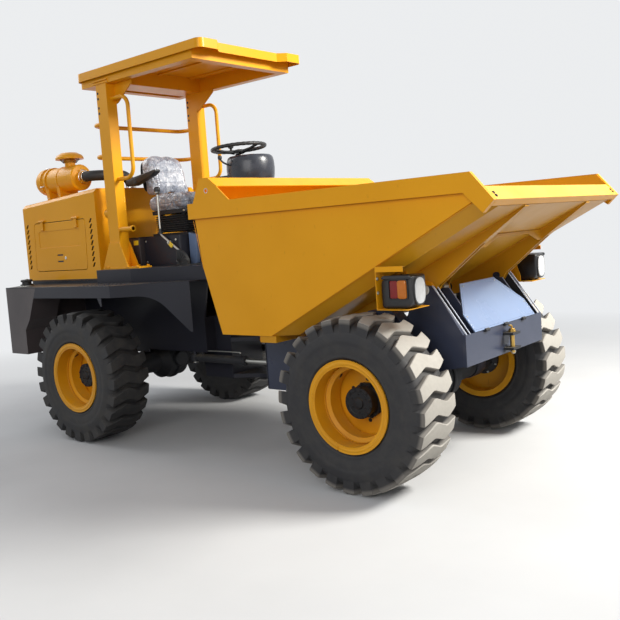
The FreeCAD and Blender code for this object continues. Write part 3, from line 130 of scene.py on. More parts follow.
links.new(pale.outputs[0], both.inputs[2])
out = nodes.new("ShaderNodeOutputWorld")
links.new(both.outputs[0], out.inputs[0])

scene = bpy.context.scene
scene.view_settings.view_transform = "Standard"


# Materials. Each is procedural in object space, so it needs no texture coordinates of its own.

class Maker:
    """A node tree with a Principled shader, built up by short calls."""

    def __init__(self, name):
        self.material = bpy.data.materials.new(name)
        self.material.use_nodes = True
        self.tree = self.material.node_tree
        self.tree.nodes.clear()
        self.shader = self.add("ShaderNodeBsdfPrincipled")
        output = self.add("ShaderNodeOutputMaterial")
        self.tree.links.new(self.shader.outputs[0], output.inputs[0])
        self.place = self.add("ShaderNodeTexCoord").outputs["Object"]

    def add(self, kind, **values):
        node = self.tree.nodes.new(kind)
        for key, value in values.items():
            setattr(node, key, value)
        return node

    def feed(self, source, node, key):
        if isinstance(source, bpy.types.NodeSocket):
            self.tree.links.new(source, node.inputs[key])
        else:
            node.inputs[key].default_value = source

    def noise(self, scale, detail=3, rough=0.5, stretch=(1, 1, 1)):
        mapping = self.add("ShaderNodeMapping")
        mapping.inputs["Scale"].default_value = stretch
        self.tree.links.new(self.place, mapping.inputs["Vector"])
        node = self.add("ShaderNodeTexNoise")
        node.inputs["Scale"].default_value = scale
        node.inputs["Detail"].default_value = detail
        node.inputs["Roughness"].default_value = rough
        self.tree.links.new(mapping.outputs[0], node.inputs["Vector"])
        return node.outputs["Fac"]

    def ramp(self, source, low, high, first=0.0, last=1.0):
        node = self.add("ShaderNodeMapRange")
        self.feed(source, node, "Value")
        node.inputs["From Min"].default_value = low
        node.inputs["From Max"].default_value = high
        node.inputs["To Min"].default_value = first
        node.inputs["To Max"].default_value = last
        return node.outputs[0]

    def math(self, operation, first, second=0.0):
        node = self.add("ShaderNodeMath", operation=operation)
        self.feed(first, node, 0)
        self.feed(second, node, 1)
        return node.outputs[0]

    def mix(self, factor, first, second):
        node = self.add("ShaderNodeMix", data_type="RGBA")
        self.feed(factor, node, 0)
        for value, key in ((first, 6), (second, 7)):
            if not isinstance(value, bpy.types.NodeSocket):
                value = (*value[:3], 1)
            self.feed(value, node, key)
        return node.outputs[2]

    def up(self):
        """How much a surface faces upwards, where dust settles."""
        normal = self.add("ShaderNodeNewGeometry").outputs["Normal"]
        split = self.add("ShaderNodeSeparateXYZ")
        self.tree.links.new(normal, split.inputs[0])
        return split.outputs[2]

    def height(self):
        split = self.add("ShaderNodeSeparateXYZ")
        self.tree.links.new(self.place, split.inputs[0])
        return split.outputs[2]

    def finish(self, colour, rough, bump=None, strength=0.1, distance=0.001, edge=0.0, **plain):
        self.feed(colour if isinstance(colour, bpy.types.NodeSocket) else (*colour[:3], 1), self.shader, "Base Color")
        self.feed(rough, self.shader, "Roughness")
        normal = None
        if edge:
            bevel = self.add("ShaderNodeBevel", samples=4)
            bevel.inputs["Radius"].default_value = edge
            normal = bevel.outputs[0]
        if bump is not None:
            node = self.add("ShaderNodeBump")
            node.inputs["Strength"].default_value = strength
            node.inputs["Distance"].default_value = distance
            self.feed(bump, node, "Height")
            if normal is not None:
                self.tree.links.new(normal, node.inputs["Normal"])
            normal = node.outputs[0]
        if normal is not None:
            self.tree.links.new(normal, self.shader.inputs["Normal"])
        for key, value in plain.items():
            self.shader.inputs[key.replace("_", " ")].default_value = value
        return self.material


def srgb(red, green, blue):
    """A colour as seen on a screen, 0 to 255, turned into the shader's own scale."""
    def linear(value):
        value = value / 255
        return value / 12.92 if value <= 0.04045 else ((value + 0.055) / 1.055) ** 2.4
    return tuple(linear(value) for value in (red, green, blue))


def paint(name, colour, shade, rough=0.34, dust=0.25, coat=0.08, worn=0.35):
    """Sprayed enamel: slight orange peel, faint streaks, dust on what faces up and scuffs here and there."""
    make = Maker(name)
    cloud = make.noise(2.3, 4)
    tone = make.mix(make.ramp(cloud, 0.35, 0.7), colour, shade)
    dirt = make.math("MULTIPLY", make.ramp(make.up(), 0.2, 1.0), make.ramp(make.noise(9, 5, 0.65), 0.42, 0.75, 0, dust))
    tone = make.mix(dirt, tone, srgb(150, 138, 112))
    scuff = make.ramp(make.noise(38, 6, 0.7, (1, 1, 0.35)), 0.63, 0.7, 0, worn)
    tone = make.mix(scuff, tone, tuple(value * 0.62 for value in shade))
    gloss = make.math("ADD", make.ramp(cloud, 0.3, 0.7, rough - 0.06, rough + 0.08), make.math("MULTIPLY", dirt, 0.9))
    return make.finish(tone, gloss, make.noise(420, 2), 0.12, 0.0004, edge=0.0022, Coat_Weight=coat, Coat_Roughness=0.18,
                       Specular_IOR_Level=0.22)


YELLOW = srgb(240, 168, 20)
YELLOW_SHADE = srgb(233, 162, 20)
MATERIALS = {
    "yellow_paint": paint("yellow_paint", YELLOW, YELLOW_SHADE),
    "dark_paint": paint("dark_paint", srgb(45, 46, 55), srgb(38, 39, 47), 0.36, 0.3, 0.06),
    "grey_paint": paint("grey_paint", srgb(126, 146, 182), srgb(118, 138, 174), 0.22, 0.1, 0.6, 0.08),
    "weight_paint": paint("weight_paint", srgb(84, 76, 76), srgb(70, 64, 66), 0.4, 0.4, 0.3),
    "frame_paint": paint("frame_paint", srgb(60, 66, 86), srgb(52, 58, 76), 0.3, 0.25, 0.25),
    "tub_paint": paint("tub_paint", srgb(214, 154, 32), srgb(206, 146, 28), coat=0.06),
    "tub_inner": paint("tub_inner", srgb(206, 170, 74), srgb(196, 160, 66), coat=0.0),
    # A pale blue-grey for the painted highlights along the front rails' edges.
    "painted_highlight_edge": paint("painted_highlight_edge", srgb(206, 212, 224), srgb(170, 178, 196), 0.3, 0.1, 0.3),
    "rim_paint": paint("rim_paint", srgb(238, 170, 30), srgb(214, 146, 24), 0.36, 0.3, 0.2),
    "cast_dark": paint("cast_dark", srgb(52, 53, 57), srgb(38, 39, 42), 0.55, 0.35, 0.0),
}


def tyre_material():
    make = Maker("tyre_rubber")
    blotch = make.noise(14, 6, 0.6)
    tone = make.mix(make.ramp(blotch, 0.4, 0.7), srgb(40, 40, 42), srgb(62, 60, 58))
    return make.finish(tone, make.ramp(blotch, 0.3, 0.8, 0.62, 0.85), make.noise(260, 4, 0.6), 0.25, 0.0006, edge=0.003)


def tyre_highlight_material():
    """Rubber whose lugs are painted lighter for the light on them: painted highlight rising up the lug walls from the
    groove floor, palest and patchy on the lug faces.
    """
    make = Maker("tyre_painted_highlight")
    blotch = make.noise(14, 6, 0.6)
    split = make.add("ShaderNodeSeparateXYZ")
    make.tree.links.new(make.place, split.inputs[0])
    reach = make.math("SQRT", make.math("ADD", make.math("POWER", split.outputs[0], 2.0),
                                        make.math("POWER", split.outputs[2], 2.0)))
    # The lug faces, where the painted highlight is palest.
    worn = make.ramp(reach, 0.4755, 0.4772)
    patchy = make.ramp(make.noise(46, 5, 0.65), 0.3, 0.62, 0.86, 1.0)
    tone = make.mix(make.ramp(blotch, 0.4, 0.7), srgb(38, 38, 41), srgb(58, 57, 57))
    # Painted highlight on the lug walls, rising from the groove floor.
    lug_wall_highlight = make.ramp(reach, 0.447, 0.463, 0.0, 0.42)
    tone = make.mix(lug_wall_highlight, tone, srgb(168, 162, 154))
    tone = make.mix(make.math("MULTIPLY", worn, patchy), tone, srgb(170, 166, 159))
    return make.finish(tone, make.ramp(blotch, 0.3, 0.8, 0.62, 0.85), make.noise(260, 4, 0.6), 0.25, 0.0006)


def plastic_material(name, colour, rough=0.5, grain=700):
    make = Maker(name)
    cloud = make.noise(20, 3)
    tone = make.mix(make.ramp(cloud, 0.35, 0.7), colour, tuple(value * 1.35 + 0.004 for value in colour))
    return make.finish(tone, make.ramp(cloud, 0.3, 0.7, rough - 0.06, rough + 0.08), make.noise(grain, 2), 0.2, 0.0003,
                       edge=0.0015)


def metal_material(name, colour, rough=0.3, scale=(1, 1, 1)):
    make = Maker(name)
    brushed = make.noise(160, 4, 0.6, scale)
    tone = make.mix(make.ramp(brushed, 0.3, 0.7), colour, tuple(value * 0.78 for value in colour))
    return make.finish(tone, make.ramp(brushed, 0.3, 0.7, rough, rough + 0.15), brushed, 0.08, 0.0003, edge=0.001,
                       Metallic=1.0)


MATERIALS.update({
    "tyre_rubber": tyre_material(),
    "black_plastic": plastic_material("black_plastic", srgb(30, 31, 33)),
    "black_rubber": plastic_material("black_rubber", srgb(24, 24, 26), 0.62, 300),
    "seat_cover": plastic_material("seat_cover", srgb(46, 52, 66), 0.6, 900),
    "zinc_steel": metal_material("zinc_steel", srgb(196, 196, 190), 0.28, (0.2, 3, 3)),
    "brass_plate": metal_material("brass_plate", srgb(202, 166, 92), 0.3),
    "lamp_unit": plastic_material("lamp_unit", srgb(26, 27, 30), 0.35),
})

MATERIALS["tyre_painted_highlight"] = tyre_highlight_material()
MATERIALS["weld_dark"] = paint("weld_dark", srgb(50, 52, 60), srgb(38, 40, 48), 0.5, 0.2, 0.0)
MATERIALS["cowl_plastic"] = plastic_material("cowl_plastic", srgb(44, 47, 56), 0.26, 900)
MATERIALS["gauge_face"] = plastic_material("gauge_face", srgb(20, 21, 23), 0.2, 900)
MATERIALS["reflector_yellow"] = plastic_material("reflector_yellow", srgb(244, 206, 40), 0.3, 500)
MATERIALS["hub_black"] = paint("hub_black", srgb(34, 34, 37), srgb(24, 24, 26), 0.45, 0.3, 0.1)

OWN_PAINT = {"counterweight": "weight_paint", "front_frame": "frame_paint", "skip_tub": "tub_paint", "skip_ribs": "tub_paint"}
slots = {row["node"]: row["material_slot"] for row in frame["record"]["subparts"]}
for name, made in frame["nodes"].items():
    made.data.materials.clear()
    made.data.materials.append(MATERIALS[OWN_PAINT.get(name, slots[name])])

# The skip's inner faces are duller, so light that bounces between them doesn't turn them red.
tub = frame["nodes"]["skip_tub"].data
tub.materials.append(MATERIALS["tub_inner"])
middle = sum((corner.co for corner in tub.vertices), Vector()) / len(tub.vertices)
for polygon in tub.polygons:
    polygon.material_index = 1 if polygon.normal.dot(middle - polygon.center) > 0.05 else 0


# Forms. Lengths are in millimetres, X from the wheelbase's middle, until a piece is finished.

def at(x, y, z):
    """A place on the machine, in the part's own frame and in metres."""
    return Vector((x / 1000 + SHIFT, y / 1000, z / 1000))


def basis(axis):
    """Two directions across an axis."""
    axis = Vector(axis).normalized()
    helper = Vector((0, 0, 1)) if abs(axis.z) < 0.9 else Vector((1, 0, 0))
    first = helper.cross(axis).normalized()
    return first, axis.cross(first)


def rounded(corners, radius, steps=4):
    """A flat outline whose corners are rounded."""
    outline = []
    count = len(corners)
    for index in range(count):
        here = Vector(corners[index])
        before = Vector(corners[index - 1]) - here
        after = Vector(corners[(index + 1) % count]) - here
        reach = min(radius, before.length * 0.48, after.length * 0.48)
        start = here + before.normalized() * reach
        stop = here + after.normalized() * reach
        for step in range(steps + 1):
            share = step / steps
            outline.append(tuple(start.lerp(here, share).lerp(here.lerp(stop, share), share)))
    return outline


def smooth_path(points, steps=6):
    """A curve that passes near the points, rounding their corners."""
    points = [Vector(point) for point in points]
    path = [points[0]]
    for index in range(1, len(points) - 1):
        here = points[index]
        before = points[index - 1].lerp(here, 0.5) if index > 1 else points[0].lerp(here, 0.35)
        after = here.lerp(points[index + 1], 0.5) if index < len(points) - 2 else here.lerp(points[-1], 0.65)
        for step in range(steps + 1):
            share = step / steps
            path.append(before.lerp(here, share).lerp(here.lerp(after, share), share))
    path.append(points[-1])
    return path


class Form:
    """Solids gathered in one mesh; each takes the material that is current when it is added."""

    def __init__(self, *materials):
        self.shape = bmesh.new()
        self.materials = materials
        self.index = 0

    def use(self, index):
        self.index = index
        return self

    def face(self, corners):
        corners = list(corners)
        if len({id(corner) for corner in corners}) < 3:
            return
        try:
            made = self.shape.faces.new(corners)
        except ValueError:
            return
        made.material_index = self.index
        made.smooth = True

    def skin(self, rings, ring_closed=True, path_closed=False, caps=True):
        """Faces between outlines that have the same number of points."""
        rows = [[self.shape.verts.new(point) for point in ring] for ring in rings]
        count = len(rows[0])
        for step in range(len(rows) if path_closed else len(rows) - 1):
            near = rows[step]
            far = rows[(step + 1) % len(rows)]
            for side in range(count if ring_closed else count - 1):
                after = (side + 1) % count
                self.face((near[side], near[after], far[after], far[side]))
        if caps and not path_closed:
            self.face(reversed(rows[0]))
            self.face(rows[-1])
        return self

    def turned(self, centre, axis, profile, steps=32, closed=True):
        """A profile of (along, radius) turned about an axis."""
        centre = Vector(centre)
        axis = Vector(axis).normalized()
        first, second = basis(axis)
        rings = []
        for step in range(steps):
            angle = 2 * math.pi * step / steps
            out = first * math.cos(angle) + second * math.sin(angle)
            rings.append([centre + axis * along + out * max(radius, 0.001) for along, radius in profile])
        return self.skin(rings, ring_closed=closed, path_closed=True)

    def disc(self, centre, axis, radius, start, stop, steps=24, chamfer=0.0):
        """A short round bar with its edges taken off."""
        profile = [(start, 0), (start, radius - chamfer), (start + chamfer, radius), (stop - chamfer, radius),
                   (stop, radius - chamfer), (stop, 0)]
        if not chamfer:
            profile = [(start, 0), (start, radius), (stop, radius), (stop, 0)]
        return self.turned(centre, axis, profile, steps)

    def prism(self, outline, origin, across, upward, depth):
        """A flat outline in the plane of two directions, given thickness along a third."""
        origin, across, upward, depth = Vector(origin), Vector(across), Vector(upward), Vector(depth)
        near = [origin + across * point[0] + upward * point[1] for point in outline]
        return self.skin([near, [point + depth for point in near]])

    def side_plate(self, outline, y_low, y_high):
        """An outline of (x, z) standing along the machine."""
        return self.prism(outline, (0, y_low, 0), (1, 0, 0), (0, 0, 1), (0, y_high - y_low, 0))

    def cross_plate(self, outline, x_low, x_high):
        """An outline of (y, z) standing across the machine."""
        return self.prism(outline, (x_low, 0, 0), (0, 1, 0), (0, 0, 1), (x_high - x_low, 0, 0))

    def flat_plate(self, outline, z_low, z_high):
        """An outline of (x, y) lying flat."""
        return self.prism(outline, (0, 0, z_low), (1, 0, 0), (0, 1, 0), (0, 0, z_high - z_low))

    def box(self, low, high):
        return self.flat_plate([(low[0], low[1]), (high[0], low[1]), (high[0], high[1]), (low[0], high[1])], low[2], high[2])

    def tube(self, points, radius, sides=14, caps=True):
        """A round bar along a path, its section kept from twisting."""
        points = [Vector(point) for point in points]
        rings = []
        first = None
        for index, here in enumerate(points):
            ahead = points[min(index + 1, len(points) - 1)] - points[max(index - 1, 0)]
            ahead.normalize()
            if first is None:
                first, second = basis(ahead)
            first = (first - ahead * first.dot(ahead)).normalized()
            second = ahead.cross(first)
            size = radius[index] if isinstance(radius, (list, tuple)) else radius
            rings.append([here + (first * math.cos(2 * math.pi * step / sides)
                                  + second * math.sin(2 * math.pi * step / sides)) * size for step in range(sides)])
        return self.skin(rings, caps=caps)

    def bolt(self, place, axis, size=8.0, washer=True, turn=0.0):
        """A hexagon head on a washer; the size is the head's half width over its corners."""
        place = Vector(place)
        axis = Vector(axis).normalized()
        first, second = basis(axis)
        base = 0.0
        if washer:
            self.disc(place, axis, size * 1.35, -0.5, size * 0.22, 18, size * 0.06)
            base = size * 0.22
        rings = []
        for along, wide in ((base - 0.2, 1), (base + size * 0.55, 1), (base + size * 0.68, 0.86)):
            rings.append([place + axis * along + (first * math.cos(turn + step * math.pi / 3)
                          + second * math.sin(turn + step * math.pi / 3)) * size * wide for step in range(6)])
        return self.skin(rings)

    def bead(self, points, radius=3.0, sides=6):
        """A weld bead with slight ripples, laid along an edge."""
        path = []
        points = [Vector(point) for point in points]
        for start, stop in zip(points, points[1:]):
            steps = max(2, int((stop - start).length / 9))
            path += [start.lerp(stop, step / steps) for step in range(steps)]
        path.append(points[-1])
        sizes = [radius * (1 + 0.16 * math.sin(index * 2.3)) for index in range(len(path))]
        sizes[0] = sizes[-1] = radius * 0.4
        return self.tube(path, sizes, sides)

    def done(self, name, body, bevel=0.0, sharp=38, local=False, location=None, turn=0.0):
        """The finished piece, in metres, riding on its body."""
        bmesh.ops.remove_doubles(self.shape, verts=self.shape.verts, dist=0.0005)
        bmesh.ops.recalc_face_normals(self.shape, faces=self.shape.faces)
        mesh = bpy.data.meshes.new(name)
        self.shape.to_mesh(mesh)
        self.shape.free()
        shift = Matrix() if local else Matrix.Translation((SHIFT, 0, 0))
        mesh.transform(shift @ Matrix.Scale(0.001, 4))
        mesh.set_sharp_from_angle(angle=math.radians(sharp))
        for material in self.materials:
            mesh.materials.append(MATERIALS[material])
        return dress(mesh, name, body, bevel, location, turn)


def dress(mesh, name, body, bevel=0.0, location=None, turn=0.0):
    """An object for a finished mesh, on its body."""
    piece = bpy.data.objects.new(name, mesh)
    bpy.context.scene.collection.objects.link(piece)
    if location is not None:
        piece.location = location
        piece.rotation_euler = (0, 0, turn)
    if bevel:
        rounding = piece.modifiers.new("edges", "BEVEL")
        rounding.width = bevel / 1000
        rounding.segments = 2
        rounding.limit_method = "ANGLE"
        rounding.angle_limit = math.radians(40)
    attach(piece, body)
    return piece


# Wheels: tyres with wavy lugs that stand for the plain ones, hubs, lock rings and valves.

LUG_COUNT = 24
TREAD_RAD = 483.2
LUG_HIGH_LINE = ((-158, 12), (-38, 67), (72, 26), (158, 56))
LUG_LOW_LINE = ((-158, -60), (-38, -20), (72, -57), (158, -16))
LUG_STATIONS = (-159.5, -157, -140, -118, -92, -68, -52, -38, -24, -8, 14, 36, 56, 72, 88, 106, 132, 157, 159.5)
FLOOR_LINE = ((0, 451), (60, 450), (118, 446), (138, 437), (150, 424), (157.5, 409), (160, 405))
SIDEWALL = ((160.5, 398), (163, 385), (164.2, 368), (164.6, 352), (163.2, 349), (163.6, 335), (162.5, 315), (159, 296),
            (155.5, 283), (156.5, 279), (156, 273), (151.5, 268), (145, 262), (137, 257), (134, 252), (134, 229))


def along_line(line, value):
    """The height of a line of corners at one place along it."""
    value = min(max(value, line[0][0]), line[-1][0])
    for (x1, y1), (x2, y2) in zip(line, line[1:]):
        if value <= x2:
            return y1 + (y2 - y1) * (value - x1) / (x2 - x1)
    return line[-1][1]


def eased(line, value, reach=13):
    """The same with its corners eased."""
    steps = [value + reach * share for share in (-1, -0.5, 0, 0.5, 1)]
    if abs(value) > 140:
        return along_line(line, value)
    return sum(along_line(line, step) for step in steps) / len(steps)


def make_tyre_mesh():
    form = Form("tyre_rubber")
    outer = [(along, radius) for along, radius in FLOOR_LINE[1:]] + list(SIDEWALL)
    profile = [(-along, radius) for along, radius in reversed(outer)] + [FLOOR_LINE[0]] + outer
    form.turned((0, 0, 0), (0, 1, 0), profile, 96)
    for count in range(LUG_COUNT):
        middle = 2 * math.pi * count / LUG_COUNT
        rings = []
        for index, along in enumerate(LUG_STATIONS):
            high = eased(LUG_HIGH_LINE, along)
            low = eased(LUG_LOW_LINE, along)
            end = index in (0, len(LUG_STATIONS) - 1)
            top = TREAD_RAD - 5.5 * (abs(along) / 158) ** 4 - (3 if end else 0)
            foot = along_line(FLOOR_LINE, abs(along)) - 6
            inset = 4 if end else 2.6
            section = [(low - 5, foot), (low - 0.5, top - 4), (low + inset, top)]
            section += [(low + (high - low) * share, top) for share in (0.3, 0.5, 0.7)]
            section += [(high - inset, top), (high + 0.5, top - 4), (high + 5, foot)]
            ring = []
            for sweep, radius in section:
                angle = middle + sweep / TREAD_RAD
                ring.append((radius * math.cos(angle), along, radius * math.sin(angle)))
            rings.append(ring)
        form.skin(rings)
    return form


def make_hub():
    """The black hub with its nuts, seen from outside along -Y."""
    form = Form("hub_black", "zinc_steel")
    scallops = []
    for step in range(120):
        angle = 2 * math.pi * step / 120
        radius = 96.5 + 3.5 * max(0.0, math.cos(10 * angle)) ** 0.6
        scallops.append((radius * math.cos(angle), radius * math.sin(angle)))
    form.prism(scallops, (0, 58.5, 0), (1, 0, 0), (0, 0, 1), (0, -23.5, 0))
    form.turned((0, 0, 0), (0, -1, 0), [(-37, 0), (-37, 84), (-30, 84), (-28, 81), (22, 79), (26, 82), (28, 88), (44, 88), (47, 85),
                                        (47, 66), (44, 63), (44, 34), (47, 31), (52, 29), (54, 24), (54, 0)], 56)
    for step in range(12):
        angle = 2 * math.pi * (step + 0.5) / 12
        form.bolt((76 * math.cos(angle), -46, 76 * math.sin(angle)), (0, -1, 0), 7.5, turn=step)
    for step in range(10):
        angle = 2 * math.pi * step / 10
        place = (91 * math.cos(angle), 35, 91 * math.sin(angle))
        form.bolt(place, (0, -1, 0), 9, turn=step)
        form.disc(place, (0, -1, 0), 4.5, 5, 13, 10, 1)
    for step in range(6):
        angle = 2 * math.pi * (step + 0.5) / 6
        form.bolt((49 * math.cos(angle), -43.8, 49 * math.sin(angle)), (0, -1, 0), 5.5, turn=step)
    for step in range(6):
        angle = math.radians(90 + 60 * step)
        form.bolt((116 * math.cos(angle), 58, 116 * math.sin(angle)), (0, -1, 0), 8.5, turn=step)
    return form


def make_lock_ring():
    """The split ring that holds the tyre on, with its gap below."""
    form = Form("rim_paint")
    profile = [(150, 229), (154.6, 229.6), (156.4, 233), (156.8, 240), (154.6, 243), (154.2, 251), (156.2, 254), (156, 257.5),
               (152, 258.5), (148, 256)]
    gap = math.radians(1.1)
    start = math.radians(-108) + gap
    rings = []
    for step in range(97):
        angle = start + (2 * math.pi - 2 * gap) * step / 96
        rings.append([(radius * math.cos(angle), -along, radius * math.sin(angle)) for along, radius in profile])
    form.skin(rings)
    form.turned((0, 0, 0), (0, -1, 0), [(52, 218.6), (64, 218.6), (70, 214), (66, 211.5), (56, 214), (50, 217)], 72)
    return form


def make_valve():
    form = Form("black_rubber", "brass_plate")
    angle = math.radians(128)
    out = Vector((math.cos(angle), 0, math.sin(angle)))
    foot = out * 216 + Vector((0, -4, 0))
    bend = out * 192 + Vector((0, -12, 0))
    tip = out * 176 + Vector((0, -52, 0))
    form.tube(smooth_path([foot, bend, tip]), 4.2, 10)
    form.use(1)
    form.tube([tip, tip + (tip - bend).normalized() * 14], [3.4, 3.0], 10)
    return form


def finished_mesh(form, name, sharp=38):
    bmesh.ops.remove_doubles(form.shape, verts=form.shape.verts, dist=0.0005)
    bmesh.ops.recalc_face_normals(form.shape, faces=form.shape.faces)
    mesh = bpy.data.meshes.new(name)
    form.shape.to_mesh(mesh)
    form.shape.free()
    mesh.transform(Matrix.Scale(0.001, 4))
    mesh.set_sharp_from_angle(angle=math.radians(sharp))
    for material in form.materials:
        mesh.materials.append(MATERIALS[material])
    return mesh


tyre_mesh = finished_mesh(make_tyre_mesh(), "tyre", 32)
# The front tyres take the painted highlight on their lugs.
highlit_tyre_mesh = tyre_mesh.copy()
highlit_tyre_mesh.materials[0] = MATERIALS["tyre_painted_highlight"]
hub_mesh = finished_mesh(make_hub(), "hub")
ring_mesh = finished_mesh(make_lock_ring(), "lock_ring")
valve_mesh = finished_mesh(make_valve(), "valve")
for end in ("front", "rear"):
    for hand, side in (("right", -1), ("left", 1)):
        low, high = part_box(f"rim_{end}_{hand}")
        middle = (low + high) / 2
        body = f"wheel_{end}_{hand}"
        turn = 0 if side < 0 else math.pi
        tread = dress(highlit_tyre_mesh if end == "front" else tyre_mesh, f"tread_{end}_{hand}", body, 0, middle, turn)
        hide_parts(f"tyre_{end}_{hand}")
        dress(hub_mesh, f"hub_{end}_{hand}", body, 0.8, middle, turn)
        dress(ring_mesh, f"lock_ring_{end}_{hand}", body, 0, middle, turn)
        dress(valve_mesh, f"valve_{end}_{hand}", body, 0, middle, turn)


# Soft pieces: the seat's cushions and armrest pad, blown up by a short cloth simulation.

def evaluated(made):
    graph = bpy.context.evaluated_depsgraph_get()
    return bpy.data.meshes.new_from_object(made.evaluated_get(graph), depsgraph=graph)


def stuffed(form, cap, pressure=4.0, voxel=0.006):
    """The form's mesh with air pressed into it; no point moves further than the cap, in metres."""
    start = finished_mesh(form, "stuffing")
    start.transform(Matrix.Translation((SHIFT, 0, 0)))
    raw = bpy.data.objects.new("stuffing", start)
    scene.collection.objects.link(raw)
    voxels = raw.modifiers.new("voxels", "REMESH")
    voxels.mode = "VOXEL"
    voxels.voxel_size = voxel
    voxels.use_smooth_shade = True
    even = evaluated(raw)
    raw.modifiers.clear()
    raw.data = even
    places = [vertex.co.copy() for vertex in even.vertices]
    cloth = raw.modifiers.new("air", "CLOTH")
    cloth.settings.quality = 4
    cloth.settings.use_pressure = True
    cloth.settings.uniform_pressure_force = pressure
    cloth.settings.effector_weights.gravity = 0
    cloth.point_cache.frame_start = 1
    cloth.point_cache.frame_end = 20
    for step in range(1, 21):
        scene.frame_set(step)
    blown = evaluated(raw)
    raw.modifiers.clear()
    scene.frame_set(1)
    for vertex, place, moved in zip(even.vertices, places, blown.vertices):
        move = moved.co - place
        if move.length > cap:
            move *= cap / move.length
        vertex.co = place + move
    bpy.data.meshes.remove(blown)
    finer = raw.modifiers.new("finer", "SUBSURF")
    finer.levels = 1
    finer.render_levels = 1
    made = evaluated(raw)
    bpy.data.objects.remove(raw)
    for polygon in made.polygons:
        polygon.use_smooth = True
    return made


def groove(distance, width, depth):
    """How deep a sewn channel lies at this distance from its line."""
    return depth * math.exp(-(distance / width) ** 2)


def upholstered(mesh, name, body, node, fill, *materials):
    mesh.materials.clear()
    for material in materials:
        mesh.materials.append(MATERIALS[material])
    piece = dress(mesh, name, body, 0)
    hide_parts(node)
    return piece


def wrap_material():
    """Dark cloth under the clear crinkled film that a new seat is delivered in. The film's sheen is painted into the
    colour: the cloth tone is a light blue-grey, with painted highlights as pale streaks along the creases and painted
    reflections as broad pale patches.
    """
    make = Maker("seat_wrap")
    cloud = make.noise(18, 4)
    # The cloth's light blue-grey carries the film's painted sheen.
    cloth = make.mix(make.ramp(cloud, 0.35, 0.7), srgb(112, 119, 136), srgb(150, 156, 170))
    crease = make.math("ABSOLUTE", make.math("SUBTRACT", make.noise(6, 4, 0.6, (1, 1.8, 1)), 0.5))
    fine = make.math("ABSOLUTE", make.math("SUBTRACT", make.noise(17, 3, 0.55, (1.6, 1, 1)), 0.5))
    # Pale streaks along the creases: painted highlights of the film.
    crease_highlight = make.math("MAXIMUM", make.ramp(crease, 0.0, 0.03, 0.9, 0), make.ramp(fine, 0.0, 0.022, 0.45, 0))
    # Broad pale patches: painted reflections of the film.
    patch = make.ramp(make.noise(5.5, 3, 0.5), 0.46, 0.62, 0.05, 0.6)
    tone = make.mix(make.math("MULTIPLY", crease_highlight, make.math("ADD", patch, 0.4)), cloth, srgb(236, 238, 242))
    tone = make.mix(make.math("MULTIPLY", patch, 0.8), tone, srgb(205, 209, 218))
    relief = make.math("ADD", make.math("MULTIPLY", make.ramp(crease, 0, 0.12), 1.0),
                       make.math("MULTIPLY", make.ramp(fine, 0, 0.1), 0.4))
    return make.finish(tone, make.ramp(cloud, 0.3, 0.7, 0.28, 0.42), relief, 0.8, 0.006,
                       Coat_Weight=0.9, Coat_Roughness=0.08)


def glass_material(name, colour, pass_through, rough=0.06):
    make = Maker(name)
    cloud = make.noise(60, 3)
    tone = make.mix(make.ramp(cloud, 0.3, 0.7), colour, tuple(value * 0.9 for value in colour))
    return make.finish(tone, make.ramp(cloud, 0.3, 0.7, rough, rough + 0.05), make.noise(190, 2, 0.5, (1, 1, 0.15)), 0.3,
                       0.0006, Transmission_Weight=pass_through, IOR=1.46)


MATERIALS["seat_wrap"] = wrap_material()
MATERIALS["lens_clear"] = glass_material("lens_clear", (0.94, 0.96, 0.98), 0.25)
MATERIALS["lens_amber"] = glass_material("lens_amber", srgb(236, 132, 20), 0.25)
MATERIALS["lens_red"] = glass_material("lens_red", srgb(150, 18, 14), 0.2)
MATERIALS["chrome"] = metal_material("chrome", srgb(232, 232, 230), 0.12)
MATERIALS["weld_yellow"] = paint("weld_yellow", srgb(226, 152, 22), srgb(204, 130, 16), 0.42, 0.2, 0.1)
# A paler yellow for the painted highlight along the skip's lip.
MATERIALS["painted_highlight_lip"] = paint("painted_highlight_lip", srgb(246, 196, 70), srgb(226, 160, 40), 0.36, 0.2, 0.2)

# Seat cushion: a wide low cushion with raised side rolls and two sewn channels.
form = Form("seat_wrap")
rings = []
for level, inset in ((1682, 26), (1688, 12), (1706, 3), (1742, 0), (1764, 8), (1776, 26)):
    corners = [(-1088 + inset, -226 + inset), (-612 - inset, -226 + inset), (-612 - inset, 226 - inset), (-1088 + inset, 226 - inset)]
    rings.append([(x, y, level) for x, y in rounded(corners, 66, 6)])
form.skin(rings)
cushion = stuffed(form, 0.024)
for vertex in cushion.vertices:
    x, y, z = (vertex.co.x - SHIFT) * 1000, vertex.co.y * 1000, vertex.co.z * 1000
    top = min(1.0, max(0.0, (z - 1745) / 25))
    roll = 9 * (min(1, abs(y) / 175) ** 4 if abs(y) < 200 else 1)
    sunk = 7 * math.exp(-((x + 870) / 150) ** 2 - (y / 120) ** 2)
    cut = groove(abs(y) - 150, 7, 8) * (1 if -1060 < x < -640 else 0)
    cut += (groove(x + 770, 6, 6) + groove(x + 960, 6, 6)) * (1 if abs(y) < 150 else 0)
    z += top * (roll - sunk - cut - 3)
    z -= top * 12 * max(0.0, (x + 680) / 70) ** 2
    seam = groove(z - 1722, 4, 3.5)
    out = Vector((x + 850, y, 0))
    if out.length > 150:
        out = out.normalized() * seam
        x -= out.x
        y -= out.y
    vertex.co = (x / 1000 + SHIFT, y / 1000, max(z, 1675.5) / 1000)
upholstered(cushion, "seat_cushion_cover", "rear_chassis", "seat_cushion", 0.7, "seat_wrap")

